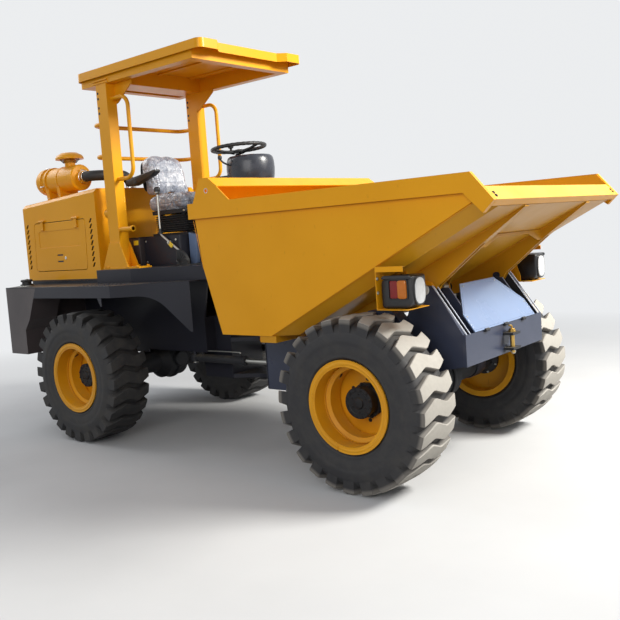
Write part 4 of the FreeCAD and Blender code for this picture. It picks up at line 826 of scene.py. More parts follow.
# Seat back: it narrows upwards to rounded shoulders, with side rolls and two channels across.
form = Form("seat_wrap")
outline = rounded([(-190, 1800), (190, 1800), (198, 1990), (176, 2085), (96, 2122), (-96, 2122), (-176, 2085), (-198, 1990)], 40, 5)
rings = []
for depth, inset in ((-2, 26), (7, 10), (20, 2), (80, 0), (98, 8), (108, 24)):
    ring = []
    for y, z in outline:
        centre_z = 1960
        share = 1 - inset / 200
        up = (z - 1790) / 345
        ring.append((-1108 - 66 * up + depth * (1 - 0.12 * up), y * share, centre_z + (z - centre_z) * (1 - inset / 170)))
    rings.append(ring)
form.skin(rings)
back = stuffed(form, 0.022)
for vertex in back.vertices:
    x, y, z = (vertex.co.x - SHIFT) * 1000, vertex.co.y * 1000, vertex.co.z * 1000
    up = (z - 1790) / 345
    front = min(1.0, max(0.0, (x - (-1052 - 66 * up)) / 30))
    cut = groove(abs(y) - 128, 7, 8) * (1 if z < 2060 else 0)
    cut += (groove(z - 1893, 6, 6) + groove(z - 1986, 6, 6)) * (1 if abs(y) < 128 else 0)
    x += front * (8 * min(1, abs(y) / 150) ** 3 - cut)
    vertex.co = (min(x, -965) / 1000 + SHIFT, y / 1000, max(z, 1790.8) / 1000)
upholstered(back, "seat_back_cover", "rear_chassis", "seat_back", 0.7, "seat_wrap")

# The armrest: a moulded pad on its pivot.
form = Form("black_plastic")
rings = []
for y, inset in ((-299, 7), (-296, 2), (-288, 0), (-252, 0), (-244, 2), (-241, 7)):
    line = rounded([(-1204 + inset, 1897 + inset), (-1116, 1880 + inset), (-902, 1938 + inset), (-852 - inset, 1966), (-856 - inset, 1984 - inset),
                    (-1128, 1948 - inset), (-1204 + inset, 1944 - inset)], 16, 4)
    rings.append([(x, y, z) for x, z in line])
form.skin(rings)
form.disc((-1100, -241, 1915), (0, 1, 0), 26, 0, 5, 28, 2)
form.disc((-1100, -236, 1915), (0, 1, 0), 15, 0, 32, 24, 1)
form.disc((-1100, -299, 1915), (0, -1, 0), 20, -2, 1.5, 28, 1)
piece = form.done("armrest_pad", "rear_chassis", 1.5)
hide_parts("armrest")

# Seat shell, slides, bellows over the spring frame and the belt's buckle.
form = Form("black_plastic", "black_rubber", "zinc_steel", "cast_dark")
shell = rounded([(-188, 1830), (188, 1830), (192, 1990), (160, 2080), (-160, 2080), (-192, 1990)], 46, 5)
rings = []
for depth, share in ((0, 1.0), (-8, 0.99), (-20, 0.9), (-26, 0.7)):
    rings.append([(-1108 - 66 * (z - 1790) / 345 + depth, y * share, 1955 + (z - 1955) * share) for y, z in shell])
form.skin(rings)
form.use(3)
for side in (-1, 1):
    low, high = sorted((side * 150, side * 182))
    form.side_plate(rounded([(-1046, 1655), (-664, 1655), (-664, 1674), (-1046, 1674)], 4), low, high)
form.use(1)
rings = []
for index in range(17):
    level = 1505 + index * 8.2
    inset = 0 if index % 2 else 13
    corners = [(-1040 + inset, -186 + inset), (-672 - inset, -186 + inset), (-672 - inset, 186 - inset), (-1040 + inset, 186 - inset)]
    rings.append([(x, y, level) for x, y in rounded(corners, 34, 4)])
form.skin(rings, caps=False)
form.use(0)
form.disc((-640, -196, 1660), (1, 0, 0), 17, -20, 8, 24, 3)
form.use(2)
form.tube([(-650, -196, 1660), (-690, -196, 1660)], 7, 12)
form.use(0)
form.box((-1000, 246, 1742), (-960, 268, 1806))
form.use(2)
form.side_plate(rounded([(-992, 1650), (-968, 1650), (-970, 1744), (-990, 1744)], 5), 252, 257)
form.done("seat_base_trim", "rear_chassis", 1.5)

# Headlamps: a black housing with a clear pill lens, an amber lens and a red reflector on its side.
form = Form("lamp_unit", "chrome", "lens_clear", "lens_amber", "lens_red", "zinc_steel", "black_plastic")
for side in (-1, 1):
    form.use(0)
    low, high = sorted((side * 702, side * 842))
    rings = []
    for y, inset in ((low, 9), (low + 3, 3), (low + 10, 0), (high - 10, 0), (high - 3, 3), (high, 9)):
        line = rounded([(1450 + inset, 1010 + inset), (1610, 1010 + inset), (1634 - inset, 1042), (1634 - inset, 1178 - inset),
                        (1490, 1178 - inset), (1450 + inset, 1152)], 16, 4)
        rings.append([(x, y, z) for x, z in line])
    form.skin(rings)
    pill = rounded([(-1, -1), (1, -1), (1, 1), (-1, 1)], 0.95, 8)

    def pill_ring(x, half_y, half_z, centre=(side * 772, 1096)):
        return [(x, centre[0] + y * half_y, centre[1] + z * half_z) for y, z in pill]

    form.skin([pill_ring(1630, 58, 76), pill_ring(1638, 58, 76), pill_ring(1640, 56, 74), pill_ring(1640, 51, 69),
               pill_ring(1634.5, 49, 67)], caps=False)
    form.use(1)
    form.skin([pill_ring(1635, 49.5, 67.5), pill_ring(1634.6, 47, 65), pill_ring(1634.2, 30, 44), pill_ring(1634, 12, 16)])
    for level, wide in ((1128, 22), (1074, 27)):
        form.turned((1634.5, side * 772, level), (1, 0, 0), [(0, 0), (0, wide), (2.4, wide), (1.2, wide * 0.8), (0.5, wide * 0.4),
                                                             (0.8, 0)], 28)
        form.disc((1635, side * 772, level), (1, 0, 0), 5, 0, 2.5, 12, 1)
    form.use(2)
    form.skin([pill_ring(1637.5, 50.5, 68.5), pill_ring(1641.5, 48.5, 66.5), pill_ring(1644.5, 40, 57), pill_ring(1645.5, 20, 30)])
    form.use(6)
    face = side * 842
    frame_line = rounded([(1497, 1054), (1613, 1054), (1613, 1160), (1497, 1160)], 14, 5)
    frame_hole = rounded([(1502, 1058), (1609, 1058), (1609, 1156), (1502, 1156)], 12, 5)
    form.skin([[(x, face + side * out, z) for x, z in line] for line, out in (
        (frame_line, -1), (frame_line, 9), (frame_hole, 9), (frame_hole, -1))], caps=False)
    form.use(0)
    form.skin([[(x, face + side * out, z) for x, z in rounded(corners, 18, 5)] for corners, out in (
        ([(1456, 1160), (1632, 1160), (1632, 1178), (1470, 1178)], -2), ([(1456, 1160), (1634, 1160), (1634, 1180), (1468, 1180)], 10),
        ([(1462, 1164), (1628, 1164), (1628, 1176), (1476, 1176)], 13))])
    form.use(3)
    amber = rounded([(1551, 1060), (1606, 1060), (1606, 1154), (1551, 1154)], 16, 5)
    rings = []
    for out, share in ((-2, 1), (7, 1), (10.5, 0.9), (12, 0.6)):
        rings.append([(1580.5 + (x - 1580.5) * share, face + side * out, 1106 + (z - 1106) * share) for x, z in amber])
    form.skin(rings)
    form.use(4)
    red = rounded([(1505, 1062), (1549, 1062), (1549, 1152), (1505, 1152)], 8, 3)
    rings = []
    for out, share in ((-2, 1), (3.5, 1), (5, 0.86)):
        rings.append([(1527 + (x - 1527) * share, face + side * out, 1107 + (z - 1107) * share) for x, z in red])
    form.skin(rings)
    form.use(5)
    for level in (1092, 1166):
        form.bolt((1438, side * 856, level), (1, 0, 0), 7.5, turn=level)
    for y in (720, 820):
        form.bolt((1540, side * y, 1003), (0, 0, -1), 7, turn=y)
    form.use(6)
    form.tube(smooth_path([(1452, side * 760, 1060), (1440, side * 760, 1060), (1424, side * 752, 1082), (1416, side * 735, 1120),
                           (1420, side * 728, 1196)]), 6, 12)
    form.disc((1450, side * 760, 1060), (-1, 0, 0), 13, 0, 11, 20, 2)
piece = form.done("headlamp_units", "skip", 1.0)
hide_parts("headlamps")

# Hood: slanted black sheets just inside the louvre slots as painted shade, a seal at its foot, door latch, bolts and
# the radiator behind the grille.

def hood_line(x):
    return 1825 + 60 * (x + 2325) / 1008


form = Form("yellow_paint", "black_rubber", "zinc_steel", "black_plastic")
for side in (-1, 1):
    # Slanted black sheets just inside each louvre slot: painted shade, so the slots read dark.
    form.use(3)
    for column in (-2288, -1406):
        for step in range(9):
            foot = 1282 + step * 43
            corners = [(column - 11, foot + 2), (column + 11, foot + 2), (column + 31, foot + 32), (column + 9, foot + 32)]
            outer = [(x, side * (526 - out), z) for (x, z), out in zip(corners, (14, 14, 1.2, 1.2))]
            inside = [(x, side * (524.4 - out), z) for (x, z), out in zip(corners, (14, 14, 1.2, 1.2))]
            form.skin([outer, inside])
for x in (-2325, -1317):
    out = -1 if x < -2000 else 1
    form.use(0)
    for y in (-470, -250, 0, 250, 470):
        form.bolt((x, y, 1212), (out, 0, 0), 7, turn=y)
form.use(1)
rim = [(-2326.5, -531.5), (-1315.5, -531.5), (-1315.5, 531.5), (-2326.5, 531.5)]
inner = [(-2318, -523), (-1324, -523), (-1324, 523), (-2318, 523)]
form.skin([[(*a, 1181) for a in rim], [(*a, 1189) for a in rim], [(*b, 1189) for b in inner], [(*b, 1181) for b in inner]],
          path_closed=True)
form.use(0)
for side in (-1, 1):
    path = [(-2318, side * 502, hood_line(-2318) - 0.5), (-1324, side * 502, hood_line(-1324) - 0.5)]
    form.bead(path, 1.6)
form.done("hood_trim", "rear_chassis", 0.6)

form = Form("black_plastic", "cast_dark")
form.cross_plate(rounded([(-392, 1245), (392, 1245), (392, 1742), (-392, 1742)], 14), -2296, -2292)
form.use(1)
for index in range(64):
    y = -384 + index * 12.2
    form.box((-2302, y, 1256), (-2296, y + 4.4, 1732))
for level in range(9):
    form.tube([(-2299, -388, 1262 + level * 58), (-2299, 388, 1262 + level * 58)], 5, 8)
form.done("radiator_core", "rear_chassis", 0)

for hand, side in (("right", -1), ("left", 1)):
    form = Form("black_plastic", "zinc_steel", "yellow_paint")
    low, high = sorted((side * 514, side * 524.5))
    # The black plate is the latch's recess plate, and it stands behind the latch's slots as painted shade so they read
    # dark.
    form.side_plate(rounded([(-1894, 1318), (-1786, 1318), (-1786, 1410), (-1894, 1410)], 12), low, high)
    form.side_plate(rounded([(-1878, 1333), (-1802, 1333), (-1802, 1343), (-1878, 1343)], 4), *sorted((side * 524, side * 528)))
    form.use(1)
    form.disc((-1762, side * 530, 1364), (0, side, 0), 13, -1, 4, 28, 1.2)
    form.box(*[[*p] for p in zip(*[sorted(pair) for pair in ((-1763.5, -1760.5), (side * 533, side * 535), (1358, 1370))])])
    form.use(2)
    for x in (-2052, -1586):
        low, high = sorted((side * 541, side * 546))
        form.tube([(x - 19, side * 541, 1606), (x + 19, side * 541, 1606)], 2.2, 8)
    form.done(f"door_latch_{hand}", f"hood_door_{hand}", 0.8)

# Air cleaner: clamp bands on its feet, clips at the lid, clamps on the neck, dust valve and rain cap mesh.
form = Form("zinc_steel", "yellow_paint", "black_rubber", "black_plastic", "chrome")
centre_y, centre_z = -330, 2010
for x in (-2095, -1937):
    form.use(1)
    form.turned((x, centre_y, centre_z), (1, 0, 0), [(-11, 106), (-11, 114.5 if x < -2080 else 108.5), (-9.5, 115.5 if x < -2080 else 109.5),
                                                       (9.5, 115.5 if x < -2080 else 109.5), (11, 114.5 if x < -2080 else 108.5), (11, 106)], 56)
    form.use(0)
    for y in (-1, 1):
        form.bolt((x, centre_y + y * 78, hood_line(x) + 34), (0, y, 0.0), 7, turn=y)
        form.box((x - 26, centre_y + (58 if y > 0 else -98), hood_line(x) - 1), (x + 26, centre_y + (98 if y > 0 else -58), hood_line(x) + 7))
        form.bolt((x, centre_y + y * 88, hood_line(x) + 7), (0, 0, 1), 8, turn=y)
form.use(4)
for index in range(4):
    angle = math.radians(20 + 90 * index)
    out = Vector((0, math.cos(angle), math.sin(angle)))
    place = Vector((-2150, centre_y, centre_z)) + out * 111
    form.tube(smooth_path([place + Vector((-26, 0, 0)) - out * 1, place + Vector((-14, 0, 0)) + out * 9, place + Vector((12, 0, 0)) + out * 8,
                           place + Vector((26, 0, 0)) - out * 4]), 3.2, 8)
    across = Vector((1, 0, 0)).cross(out)
    form.tube([place + across * 9 + out * 4, place - across * 9 + out * 4], 2.8, 8)
form.use(1)
form.turned((-2154, centre_y, centre_z), (1, 0, 0), [(-5, 104), (-5, 116), (-3, 117.5), (3, 117.5), (5, 116), (5, 104)], 56)
form.disc((-2262, centre_y, centre_z), (-1, 0, 0), 36, -1, 5, 32, 3)
form.bead([(-1868 + 46 * math.cos(a * math.pi / 12), centre_y + 46 * math.sin(a * math.pi / 12),
            centre_z + math.sqrt(106 ** 2 - (46 * math.sin(a * math.pi / 12)) ** 2)) for a in range(25)], 3)
form.turned((-1868, centre_y, 2150), (0, 0, 1), [(-6, 42), (-6, 49), (-4, 51), (12, 51), (14, 49), (14, 42)], 40)
form.use(2)
form.turned((-2212, centre_y, centre_z - 100), (0, 0, -1), [(0, 0), (0, 15), (16, 15), (24, 19), (40, 14), (42, 5), (42, 0)], 24)
form.use(4)
for x, radius in ((-1700, 53),):
    form.turned((x, centre_y, centre_z), (1, 0, 0), [(-8, 44), (-8, radius), (-6.5, radius + 1.6), (6.5, radius + 1.6), (8, radius), (8, 44)], 44)
    form.bolt((x, centre_y - 18, centre_z + radius + 5), (0, -1, 0), 5)
    form.tube([(x, centre_y - 20, centre_z + radius + 5), (x, centre_y + 14, centre_z + radius + 5)], 3, 8)
form.use(3)
for index in range(36):
    angle = 2 * math.pi * index / 36
    foot = (-1868 + 80 * math.cos(angle), centre_y + 80 * math.sin(angle), 2171)
    form.tube([foot, (-1868 + 52 * math.cos(angle), centre_y + 52 * math.sin(angle), 2142)], 1.5, 5)
form.done("air_cleaner_trim", "rear_chassis", 0.6)

# Intake hose: clamps, moulded rings on its straight run, and the collar where it enters the hood.
form = Form("black_rubber", "chrome", "black_plastic", "yellow_paint")
for y in range(-208, -72, 17):
    form.turned((-1560, y, 2010), (0, 1, 0), [(-4.5, 41), (-3.5, 44.6), (0, 46.2), (3.5, 44.6), (4.5, 41)], 40)
form.use(1)
form.turned((-1674, -330, 2010), (1, 0, 0), [(-7, 40), (-7, 43.6), (-5.5, 44.8), (5.5, 44.8), (7, 43.6), (7, 40)], 40)
form.bolt((-1674, -318, 2058), (0, 1, 0), 5)
form.turned((-1560, 40, 1908), (0, 0, 1), [(-7, 40), (-7, 43.6), (-5.5, 44.8), (5.5, 44.8), (7, 43.6), (7, 40)], 40)
form.bolt((-1512, 40, 1908), (0, 1, 0), 5)
form.use(0)
form.turned((-1560, 40, 1882.6), (0, 0, 1), [(-4, 43), (-4, 62), (-1, 64), (3, 60), (9, 48), (16, 46), (16, 41)], 44)
form.done("hose_clamps", "rear_chassis", 0.4)

# Skip: welds along the ribs and side plates, pins, a painted highlight strip along the lip, bolts and folded ends.

def skip_floor(x):
    return 841 + (1491 - 841) / (2082 - 815) * (x - 815)


form = Form("weld_yellow", "yellow_paint", "zinc_steel", "painted_highlight_lip", "cast_dark", "black_plastic")
for side in (-1, 1):
    for y in (402, 416, 442, 456):
        form.bead([(700, side * y, 839), (815, side * y, 839), (2060, side * y, skip_floor(2060) - 2)], 3.2)
    for y in (403, 455):
        form.bead([(590, side * y, 838.5), (590, side * y, 803)], 3)
    form.bead([(95, side * 846, 1560.5), (1948, side * 846, 1560.5)], 2.6)
    form.bead([(156, side * 839, 1246), (275, side * 839, 843), (668, side * 839, 843)], 2.4)
    form.bead([(674, side * 838, 843), (1985, side * 838, 1512)], 3.2)
    form.bead([(152, side * 845.5, 1248), (95, side * 845.5, 1555)], 2.4)
    form.bead([(577, side * 838, 804), (577, side * 838, 838)], 3)
    for y in (42, 56):
        form.bead([(705, side * y, 839), (815, side * y, 839), (1398, side * y, skip_floor(1398) - 2)], 3)
    form.use(1)
    low, high = sorted((side * 455, side * 463))
    form.turned((1500, side * 455, 1070), (0, side, 0), [(-0.5, 23), (-0.5, 46), (3, 46), (4.5, 44), (4.5, 23)], 40)
    form.use(2)
    form.disc((1500, side * 489, 1070), (0, side, 0), 30, 0, 9, 32, 2)
    form.bolt((1500, side * 498, 1070), (0, side, 0), 11)
    form.use(4)
    form.disc((1330, side * 68, 1035), (0, side, 0), 34, -0.5, 5, 30, 1.5)
    form.use(0)
# A thin pale strip across the lip's sloping face: painted highlight where the lip faces the light.
form.use(3)
form.skin([[(x, -838, z) for x, z in ((2110.0, 1519.5), (2050.4, 1585.6), (2049.6, 1584.8), (2109.2, 1518.6))],
           [(x, 838, z) for x, z in ((2110.0, 1519.5), (2050.4, 1585.6), (2049.6, 1584.8), (2109.2, 1518.6))]])
form.use(4)
for side in (-1, 1):
    for x, z in ((2080, 1552), (2093, 1537.5)):
        form.bolt((x, side * 812, z), (0.74, 0, 0.67), 7, turn=x)
    form.use(2)
    form.turned((252, side * 872, 1726), (0, side, 0), [(-1.5, 11.6), (-1.5, 15.5), (1.4, 15.5), (1.4, 11.6)], 28)
    form.use(4)
form.done("skip_trim", "skip", 0)

# Posts and canopy: foot bolts, welds, pegs for hanging, top bolts and the roof's fastenings.
form = Form("yellow_paint", "zinc_steel", "weld_yellow", "black_rubber")
for side in (-1, 1):
    form.use(0)
    for x in (-1270, -1232, -1010, -900):
        for y in (404, 508) if x > -1100 else (508,):
            form.bolt((x, side * y, 1267), (0, 0, 1), 12, turn=x)
    form.use(2)
    for y in (415, 505):
        form.bead([(-1205, side * y, 1270), (-1085, side * y, 1270)], 3)
    for x in (-1205, -1085):
        form.bead([(x, side * 413, 1460), (x, side * 413, 1268)], 2.4)
        form.bead([(x, side * 505, 1456), (x, side * 505, 1268)], 2.4)
    form.bead([(-1083, side * 424, 2492), (-1052, side * 424, 2500), (-884, side * 424, 2620)], 2.4)
    form.use(0)
    form.disc((-1085, side * 484, 1552), (1, 0, 0), 19, -2, 146, 28, 3)
    form.disc((-1085, side * 484, 1552), (1, 0, 0), 23.5, 136, 146, 28, 2)
    form.disc((-1205, side * 466, 1682), (-1, 0, 0), 38, -2, 44, 36, 5)
    form.cross_plate(rounded([(side * 460 - 58, 2662), (side * 460 + 58, 2662), (side * 460 + 58, 2674), (side * 460 - 58, 2674)], 3), -1230, -1060)
    form.use(1)
    for x in (-1218, -1072):
        for y in (424, 496):
            form.bolt((x, side * y, 2655), (0, 0, -1), 9, turn=x)
    form.use(0)
    form.box(*[[*p] for p in zip(*[sorted(pair) for pair in ((-1234, -1056), (side * 408, side * 512), (2645, 2655))])])
form.use(3)
for face_y in (-505, 415):
    for level in (2578, 2538, 2470, 2430):
        form.turned((-1188, face_y, level), (0, -1, 0), [(-0.5, 0), (-0.5, 9.5), (1.2, 9.5), (1.2, 6), (0.4, 5), (0.4, 0)], 20)
form.done("post_fittings", "rear_chassis", 0.8)
form = Form("black_rubber", "yellow_paint")
edge = [(-1400, -535), (-40, -535), (-40, 535), (-1400, 535)]
form.use(1)
for y in (-330, 0, 330):
    form.box((-1330, y - 18, 2737), (-175, y + 18, 2746))
form.use(0)
form.tube([(-1396, -480, 2693), (-1396, 480, 2693)], 3, 8)
form.done("canopy_stiffeners", "rear_chassis", 1.0)

# Front: cover bolts and hinge tubes, painted highlights along the rail edges, tow pin handle and clip, welds.
cover_turn = math.atan2(1736 - 1549, 1091 - 825)


def on_cover(y, rise, out=0.0):
    """A place on the inclined front cover, at a height along it and a distance in front of it."""
    return (1736 + 6 - math.sin(cover_turn) * rise + math.cos(cover_turn) * (out - 1),
            y, 825 + math.cos(cover_turn) * rise + math.sin(cover_turn) * (out - 1) + 3)


front_out = (math.cos(cover_turn), 0, math.sin(cover_turn))
form = Form("zinc_steel", "grey_paint", "cast_dark", "weld_dark", "painted_highlight_edge")
for y, rise in ((-372, 98), (372, 98), (-200, 282), (200, 282)):
    form.bolt(on_cover(y, rise), front_out, 5, washer=False, turn=y)
form.use(1)
line = [(-382, 12), (382, 12), (382, 112), (208, 290), (-208, 290), (-382, 112)]
form.bead([on_cover(y, rise) for y, rise in line + line[:1]], 1.8)
form.use(2)
for y in (-262, -20, 222):
    form.tube([(1742, y - 22, 823), (1742, y + 22, 823)], 10, 20)
# Pale strips along the rails' top edges: painted highlights where light catches them.
form.use(4)
for side in (-1, 1):
    for inner, outer in ((484, 491), (446, 452)):
        low, high = sorted((side * inner, side * outer))
        form.skin([[(1739, low, 827), (1739, high, 827), (1734, high, 823), (1734, low, 823)],
                   [(1551.5, low, 1093.5), (1551.5, high, 1093.5), (1546, high, 1090), (1546, low, 1090)]])
    form.use(2)
    low, high = sorted((side * 446, side * 452))
    form.side_plate([(1736, 826), (1549, 1091), (1500, 1091), (1687, 826)], low, high)
    form.use(4)
form.use(3)
for side in (-1, 1):
    form.bead([(1716, side * 491, 655), (1716, side * 491, 823)], 4)
    form.bead([(300, side * 491, 432), (300, side * 491, 768)], 4)
    form.bead([(1738, side * 50, 676), (1738, side * 50, 688)], 3)
form.use(2)
for z in (675, 761):
    form.bead([(1738, -50, z + 14), (1738, 50, z + 14)], 3.5)
form.done("front_fittings", "front_chassis", 0.6)

form = Form("frame_paint", "cast_dark", "zinc_steel", "black_rubber")
for side in (-1, 1):
    low, high = sorted((side * 491, side * 588))
    form.use(0)
    form.side_plate(rounded([(1180, 775), (1395, 775), (1395, 905), (1340, 965), (1180, 965)], 14), low, high)
    form.use(1)
    form.side_plate(rounded([(1212, 800), (1320, 800), (1320, 880), (1212, 880)], 8), *sorted((side * 586, side * 594)))
    form.use(2)
    for x in (1222, 1310):
        for z in (810, 870):
            form.bolt((x, side * 594, z), (0, side, 0), 6, turn=x)
    form.use(3)
    for x in (1235, 1275, 1315):
        form.tube([(x, side * 520, 775), (x, side * 520, 765)], 11, 16)
form.done("front_frame_boxes", "front_chassis", 3)

form = Form("brass_plate", "zinc_steel")
form.tube(smooth_path([(1768, 0, 792), (1768, 0, 806), (1768, -8, 814), (1768, -34, 816)]), 5.5, 12)
form.disc((1768, 0, 787), (0, 0, 1), 17, 0, 8, 24, 1.5)
form.use(1)
form.tube([(1768, -22, 662), (1768, 22, 662)], 3.2, 10)
form.tube(smooth_path([(1768, 22, 662), (1768, 34, 660), (1768, 36, 650), (1768, 20, 646), (1768, -14, 654)]), 2.4, 8)
form.done("tow_pin_handle", "front_chassis", 0)

# Steering wheel: grip with finger rolls, hub cap and knob; cowl with gauges, switches and boot.
tilt = math.radians(3)
wheel_ahead = Vector((math.cos(tilt), 0, math.sin(tilt)))
wheel_up = Vector((-math.sin(tilt), 0, math.cos(tilt)))
wheel_side = Vector((0, 1, 0))


def on_wheel(angle, radius, high):
    return Vector((-258, 0, 2075)) + wheel_ahead * radius * math.cos(angle) + wheel_side * radius * math.sin(angle) + wheel_up * high


form = Form("black_plastic", "black_rubber", "zinc_steel")
rings = []
for step in range(180):
    angle = 2 * math.pi * step / 180
    swell = 1.0 + 0.055 * math.cos(30 * angle)
    ring = []
    for part in range(14):
        turn = 2 * math.pi * part / 14
        ring.append(on_wheel(angle, 192 + 13 * swell * math.cos(turn), 13 * swell * math.sin(turn)))
    rings.append(ring)
form.skin(rings, path_closed=True)
form.turned(on_wheel(0, 0, 0), wheel_up, [(-36, 0), (-36, 44), (-28, 47), (-20, 44), (-14, 30), (-13, 0)], 40)
for index in range(3):
    angle = 2 * math.pi * index / 3
    for share in (0.25,):
        form.tube([on_wheel(angle, 36, -34), on_wheel(angle, 110, -22), on_wheel(angle, 186, -3)], [15, 9.5, 10], 14)
form.use(1)
form.turned(on_wheel(math.radians(150), 195, 14), wheel_up, [(0, 0), (0, 10), (12, 9), (18, 20), (34, 23), (46, 18), (50, 0)], 24)
form.use(2)
form.disc(on_wheel(0, 0, -13), wheel_up, 13, 0, 3, 24, 1)
piece = form.done("steering_wheel_grip", "steering_wheel", 0)
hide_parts("steering_wheel")

form = Form("black_plastic", "black_rubber", "chrome", "gauge_face", "lens_amber", "yellow_paint", "lens_red", "cowl_plastic")
for index in range(6):
    radius = 46 - index * 3.6
    form.use(1)
    form.turned((-258, 0, 1998 + index * 5.6), (0, 0, 1), [(0, 14), (0, radius - 5), (2.8, radius), (5.6, radius - 5), (5.6, 14)], 36)
for y, x, radius in ((-62, -86, 34), (62, -86, 34), (0, -58, 27)):
    form.use(2)
    form.turned((x, y, 2002), (0, 0, 1), [(-1, radius - 5), (-1, radius + 3), (3, radius + 3), (4.5, radius), (2.4, radius - 5)], 36)
    form.use(3)
    form.disc((x, y, 2002), (0, 0, 1), radius - 4.5, 0, 1.4, 36, 0.2)
    form.use(0)
    form.tube([(x, y, 2004), (x + (radius - 12) * 0.7, y + (radius - 12) * 0.6, 2004)], 1.2, 6)
for index in range(4):
    form.use(0)
    y = -66 + index * 44
    form.flat_plate(rounded([(-196, y - 11), (-172, y - 11), (-172, y + 11), (-196, y + 11)], 3), 2001, 2010)
    form.use(4 if index % 2 else 6)
    form.disc((-158, y, 2002), (0, 0, 1), 5, 0, 4, 16, 1)
form.use(2)
form.disc((-120, -118, 2002), (0, 0, 1), 13, -1, 7, 26, 1.5)
form.use(0)
form.tube(smooth_path([(-190, 150, 1935), (-206, 186, 1945), (-240, 210, 1968), (-262, 216, 1996)]), 6.5, 12)
form.turned((-262, 216, 1990), (0, 0, 1), [(0, 0), (0, 12), (10, 17), (24, 17), (32, 10), (34, 0)], 22)
form.tube(smooth_path([(-190, -150, 1935), (-206, -186, 1945), (-236, -206, 1966), (-252, -210, 1990)]), 6.5, 12)
form.turned((-252, -210, 1984), (0, 0, 1), [(0, 0), (0, 11), (10, 15), (22, 15), (30, 9), (32, 0)], 22)
form.use(7)
form.turned((-155, 0, 1836), (0, 0, 1), [(-5, 120), (-5, 158), (0, 166), (30, 171.5), (75, 174), (120, 171.5), (148, 165.8), (160, 158),
                                          (167, 148.5), (167.4, 120)], 72)
form.use(0)
form.done("console_fittings", "rear_chassis", 0.6)

# Boxes beside the seat, the cable cover on the deck, and the floor mat.
form = Form("dark_paint", "grey_paint", "black_plastic", "reflector_yellow", "zinc_steel", "black_rubber", "weight_paint")
# The box rearward of the seat's pedestal, with its lid and small yellow plate, takes the dark reddish counterweight
# paint as painted shade of the shadowed region under the seat.
form.use(6)
form.flat_plate(rounded([(-1196, -332), (-1064, -332), (-1064, -60), (-1196, -60)], 6), 1256, 1476)
form.use(0)
form.side_plate(rounded([(-1040, 1272), (-668, 1272), (-668, 1462), (-1040, 1462)], 10), -302.5, -299)
form.use(2)
form.flat_plate(rounded([(-1200, -336), (-1062, -336), (-1062, -56), (-1200, -56)], 8), 1476, 1484)
form.use(4)
for x in (-1024, -684):
    for z in (1288, 1446):
        form.bolt((x, -302.5, z), (0, -1, 0), 6, turn=x)
form.use(3)
form.side_plate(rounded([(-1134, 1424), (-1080, 1424), (-1080, 1460), (-1134, 1460)], 3), -333.6, -331.6)
form.use(1)
form.side_plate(rounded([(-634, 1262), (-560, 1262), (-560, 1472), (-634, 1492)], 8), -214, -186)
form.side_plate(rounded([(-634, 1262), (-560, 1262), (-560, 1472), (-634, 1492)], 8), 186, 214)
form.flat_plate([(-640, -214), (-566, -214), (-566, 214), (-640, 214)], 1258, 1262)
form.use(2)
fan = [(-660, 1258), (-545, 1258)]
fan += [(-660 + 115 * math.cos(math.radians(a)), 1258 + 115 * math.sin(math.radians(a))) for a in range(10, 91, 10)]
form.side_plate(fan, -330, -304)
for index in range(7):
    angle = math.radians(12 + index * 12)
    form.tube([(-660 + 30 * math.cos(angle), -331, 1258 + 30 * math.sin(angle)),
               (-660 + 111 * math.cos(angle), -331, 1258 + 111 * math.sin(angle))], 2.6, 6)
form.use(5)
form.flat_plate(rounded([(-560, -390), (-180, -330), (-180, 330), (-560, 390)], 20), 1255, 1259)
for index in range(15):
    y = -336 + index * 48
    form.tube([(-548, y, 1259.5), (-190, y * 0.88, 1259.5)], 3, 6)
form.use(0)
form.use(5)
for y in (-190, 120):
    for index in range(6):
        share = index / 5
        place = Vector((-417 + 40 * share, y + 3, 1328 + 76 * share))
        form.tube([place, place + Vector((0, 64, 0))], 3, 6)
form.use(2)
form.turned((-827, -318, 1790), (0, 0, 1), [(0, 0), (0, 11), (8, 15), (20, 22), (36, 25), (50, 22), (58, 10), (59, 0)], 28)
form.turned((-827, -318, 1500), (0, 0, 1), [(0, 9), (0, 20), (12, 17), (26, 12), (36, 10), (36, 9)], 20)
form.use(4)
form.bolt((-733, -332, 1429), (0, -1, 0), 10)
form.use(3)
form.side_plate(rounded([(-724, 1438), (-740, 1416), (-704, 1386), (-688, 1408)], 3), -334, -327)
form.done("operator_fittings", "rear_chassis", 0.8)

# Rams: gland nuts, ports and hard pipes on the barrels, pins with keepers and grease nipples.

def ram(form, base, eye, radius, share, rod_radius):
    base, eye = Vector(base), Vector(eye)
    axis = (eye - base).normalized()
    reach = (eye - base).length
    first, second = basis(axis)
    end = reach * share
    form.use(0)
    form.turned(base, axis, [(end - 34, radius - 1), (end - 34, radius + 4), (end - 31, radius + 6), (end - 6, radius + 6), (end - 3, radius + 3),
                             (end + 2, radius - 4), (end + 3, rod_radius + 0.6), (end - 2, rod_radius + 0.6)], 36)
    form.turned(base, axis, [(58, radius - 1), (58, radius + 3), (62, radius + 4), (70, radius + 3), (73, radius - 1)], 36)
    for along in (84, end - 52):
        form.disc(base + axis * along, second, 11, radius - 3, radius + 12, 18, 1)
        form.bolt(base + axis * along + second * (radius + 12), second, 9)
    form.use(1)
    port = base + axis * (end - 52) + second * (radius + 18)
    form.tube(smooth_path([port, port + second * 9 - axis * 4, port + second * 10 - axis * 40, base + axis * 96 + second * (radius + 27),
                           base + axis * 84 + second * (radius + 18)]), 5, 10)


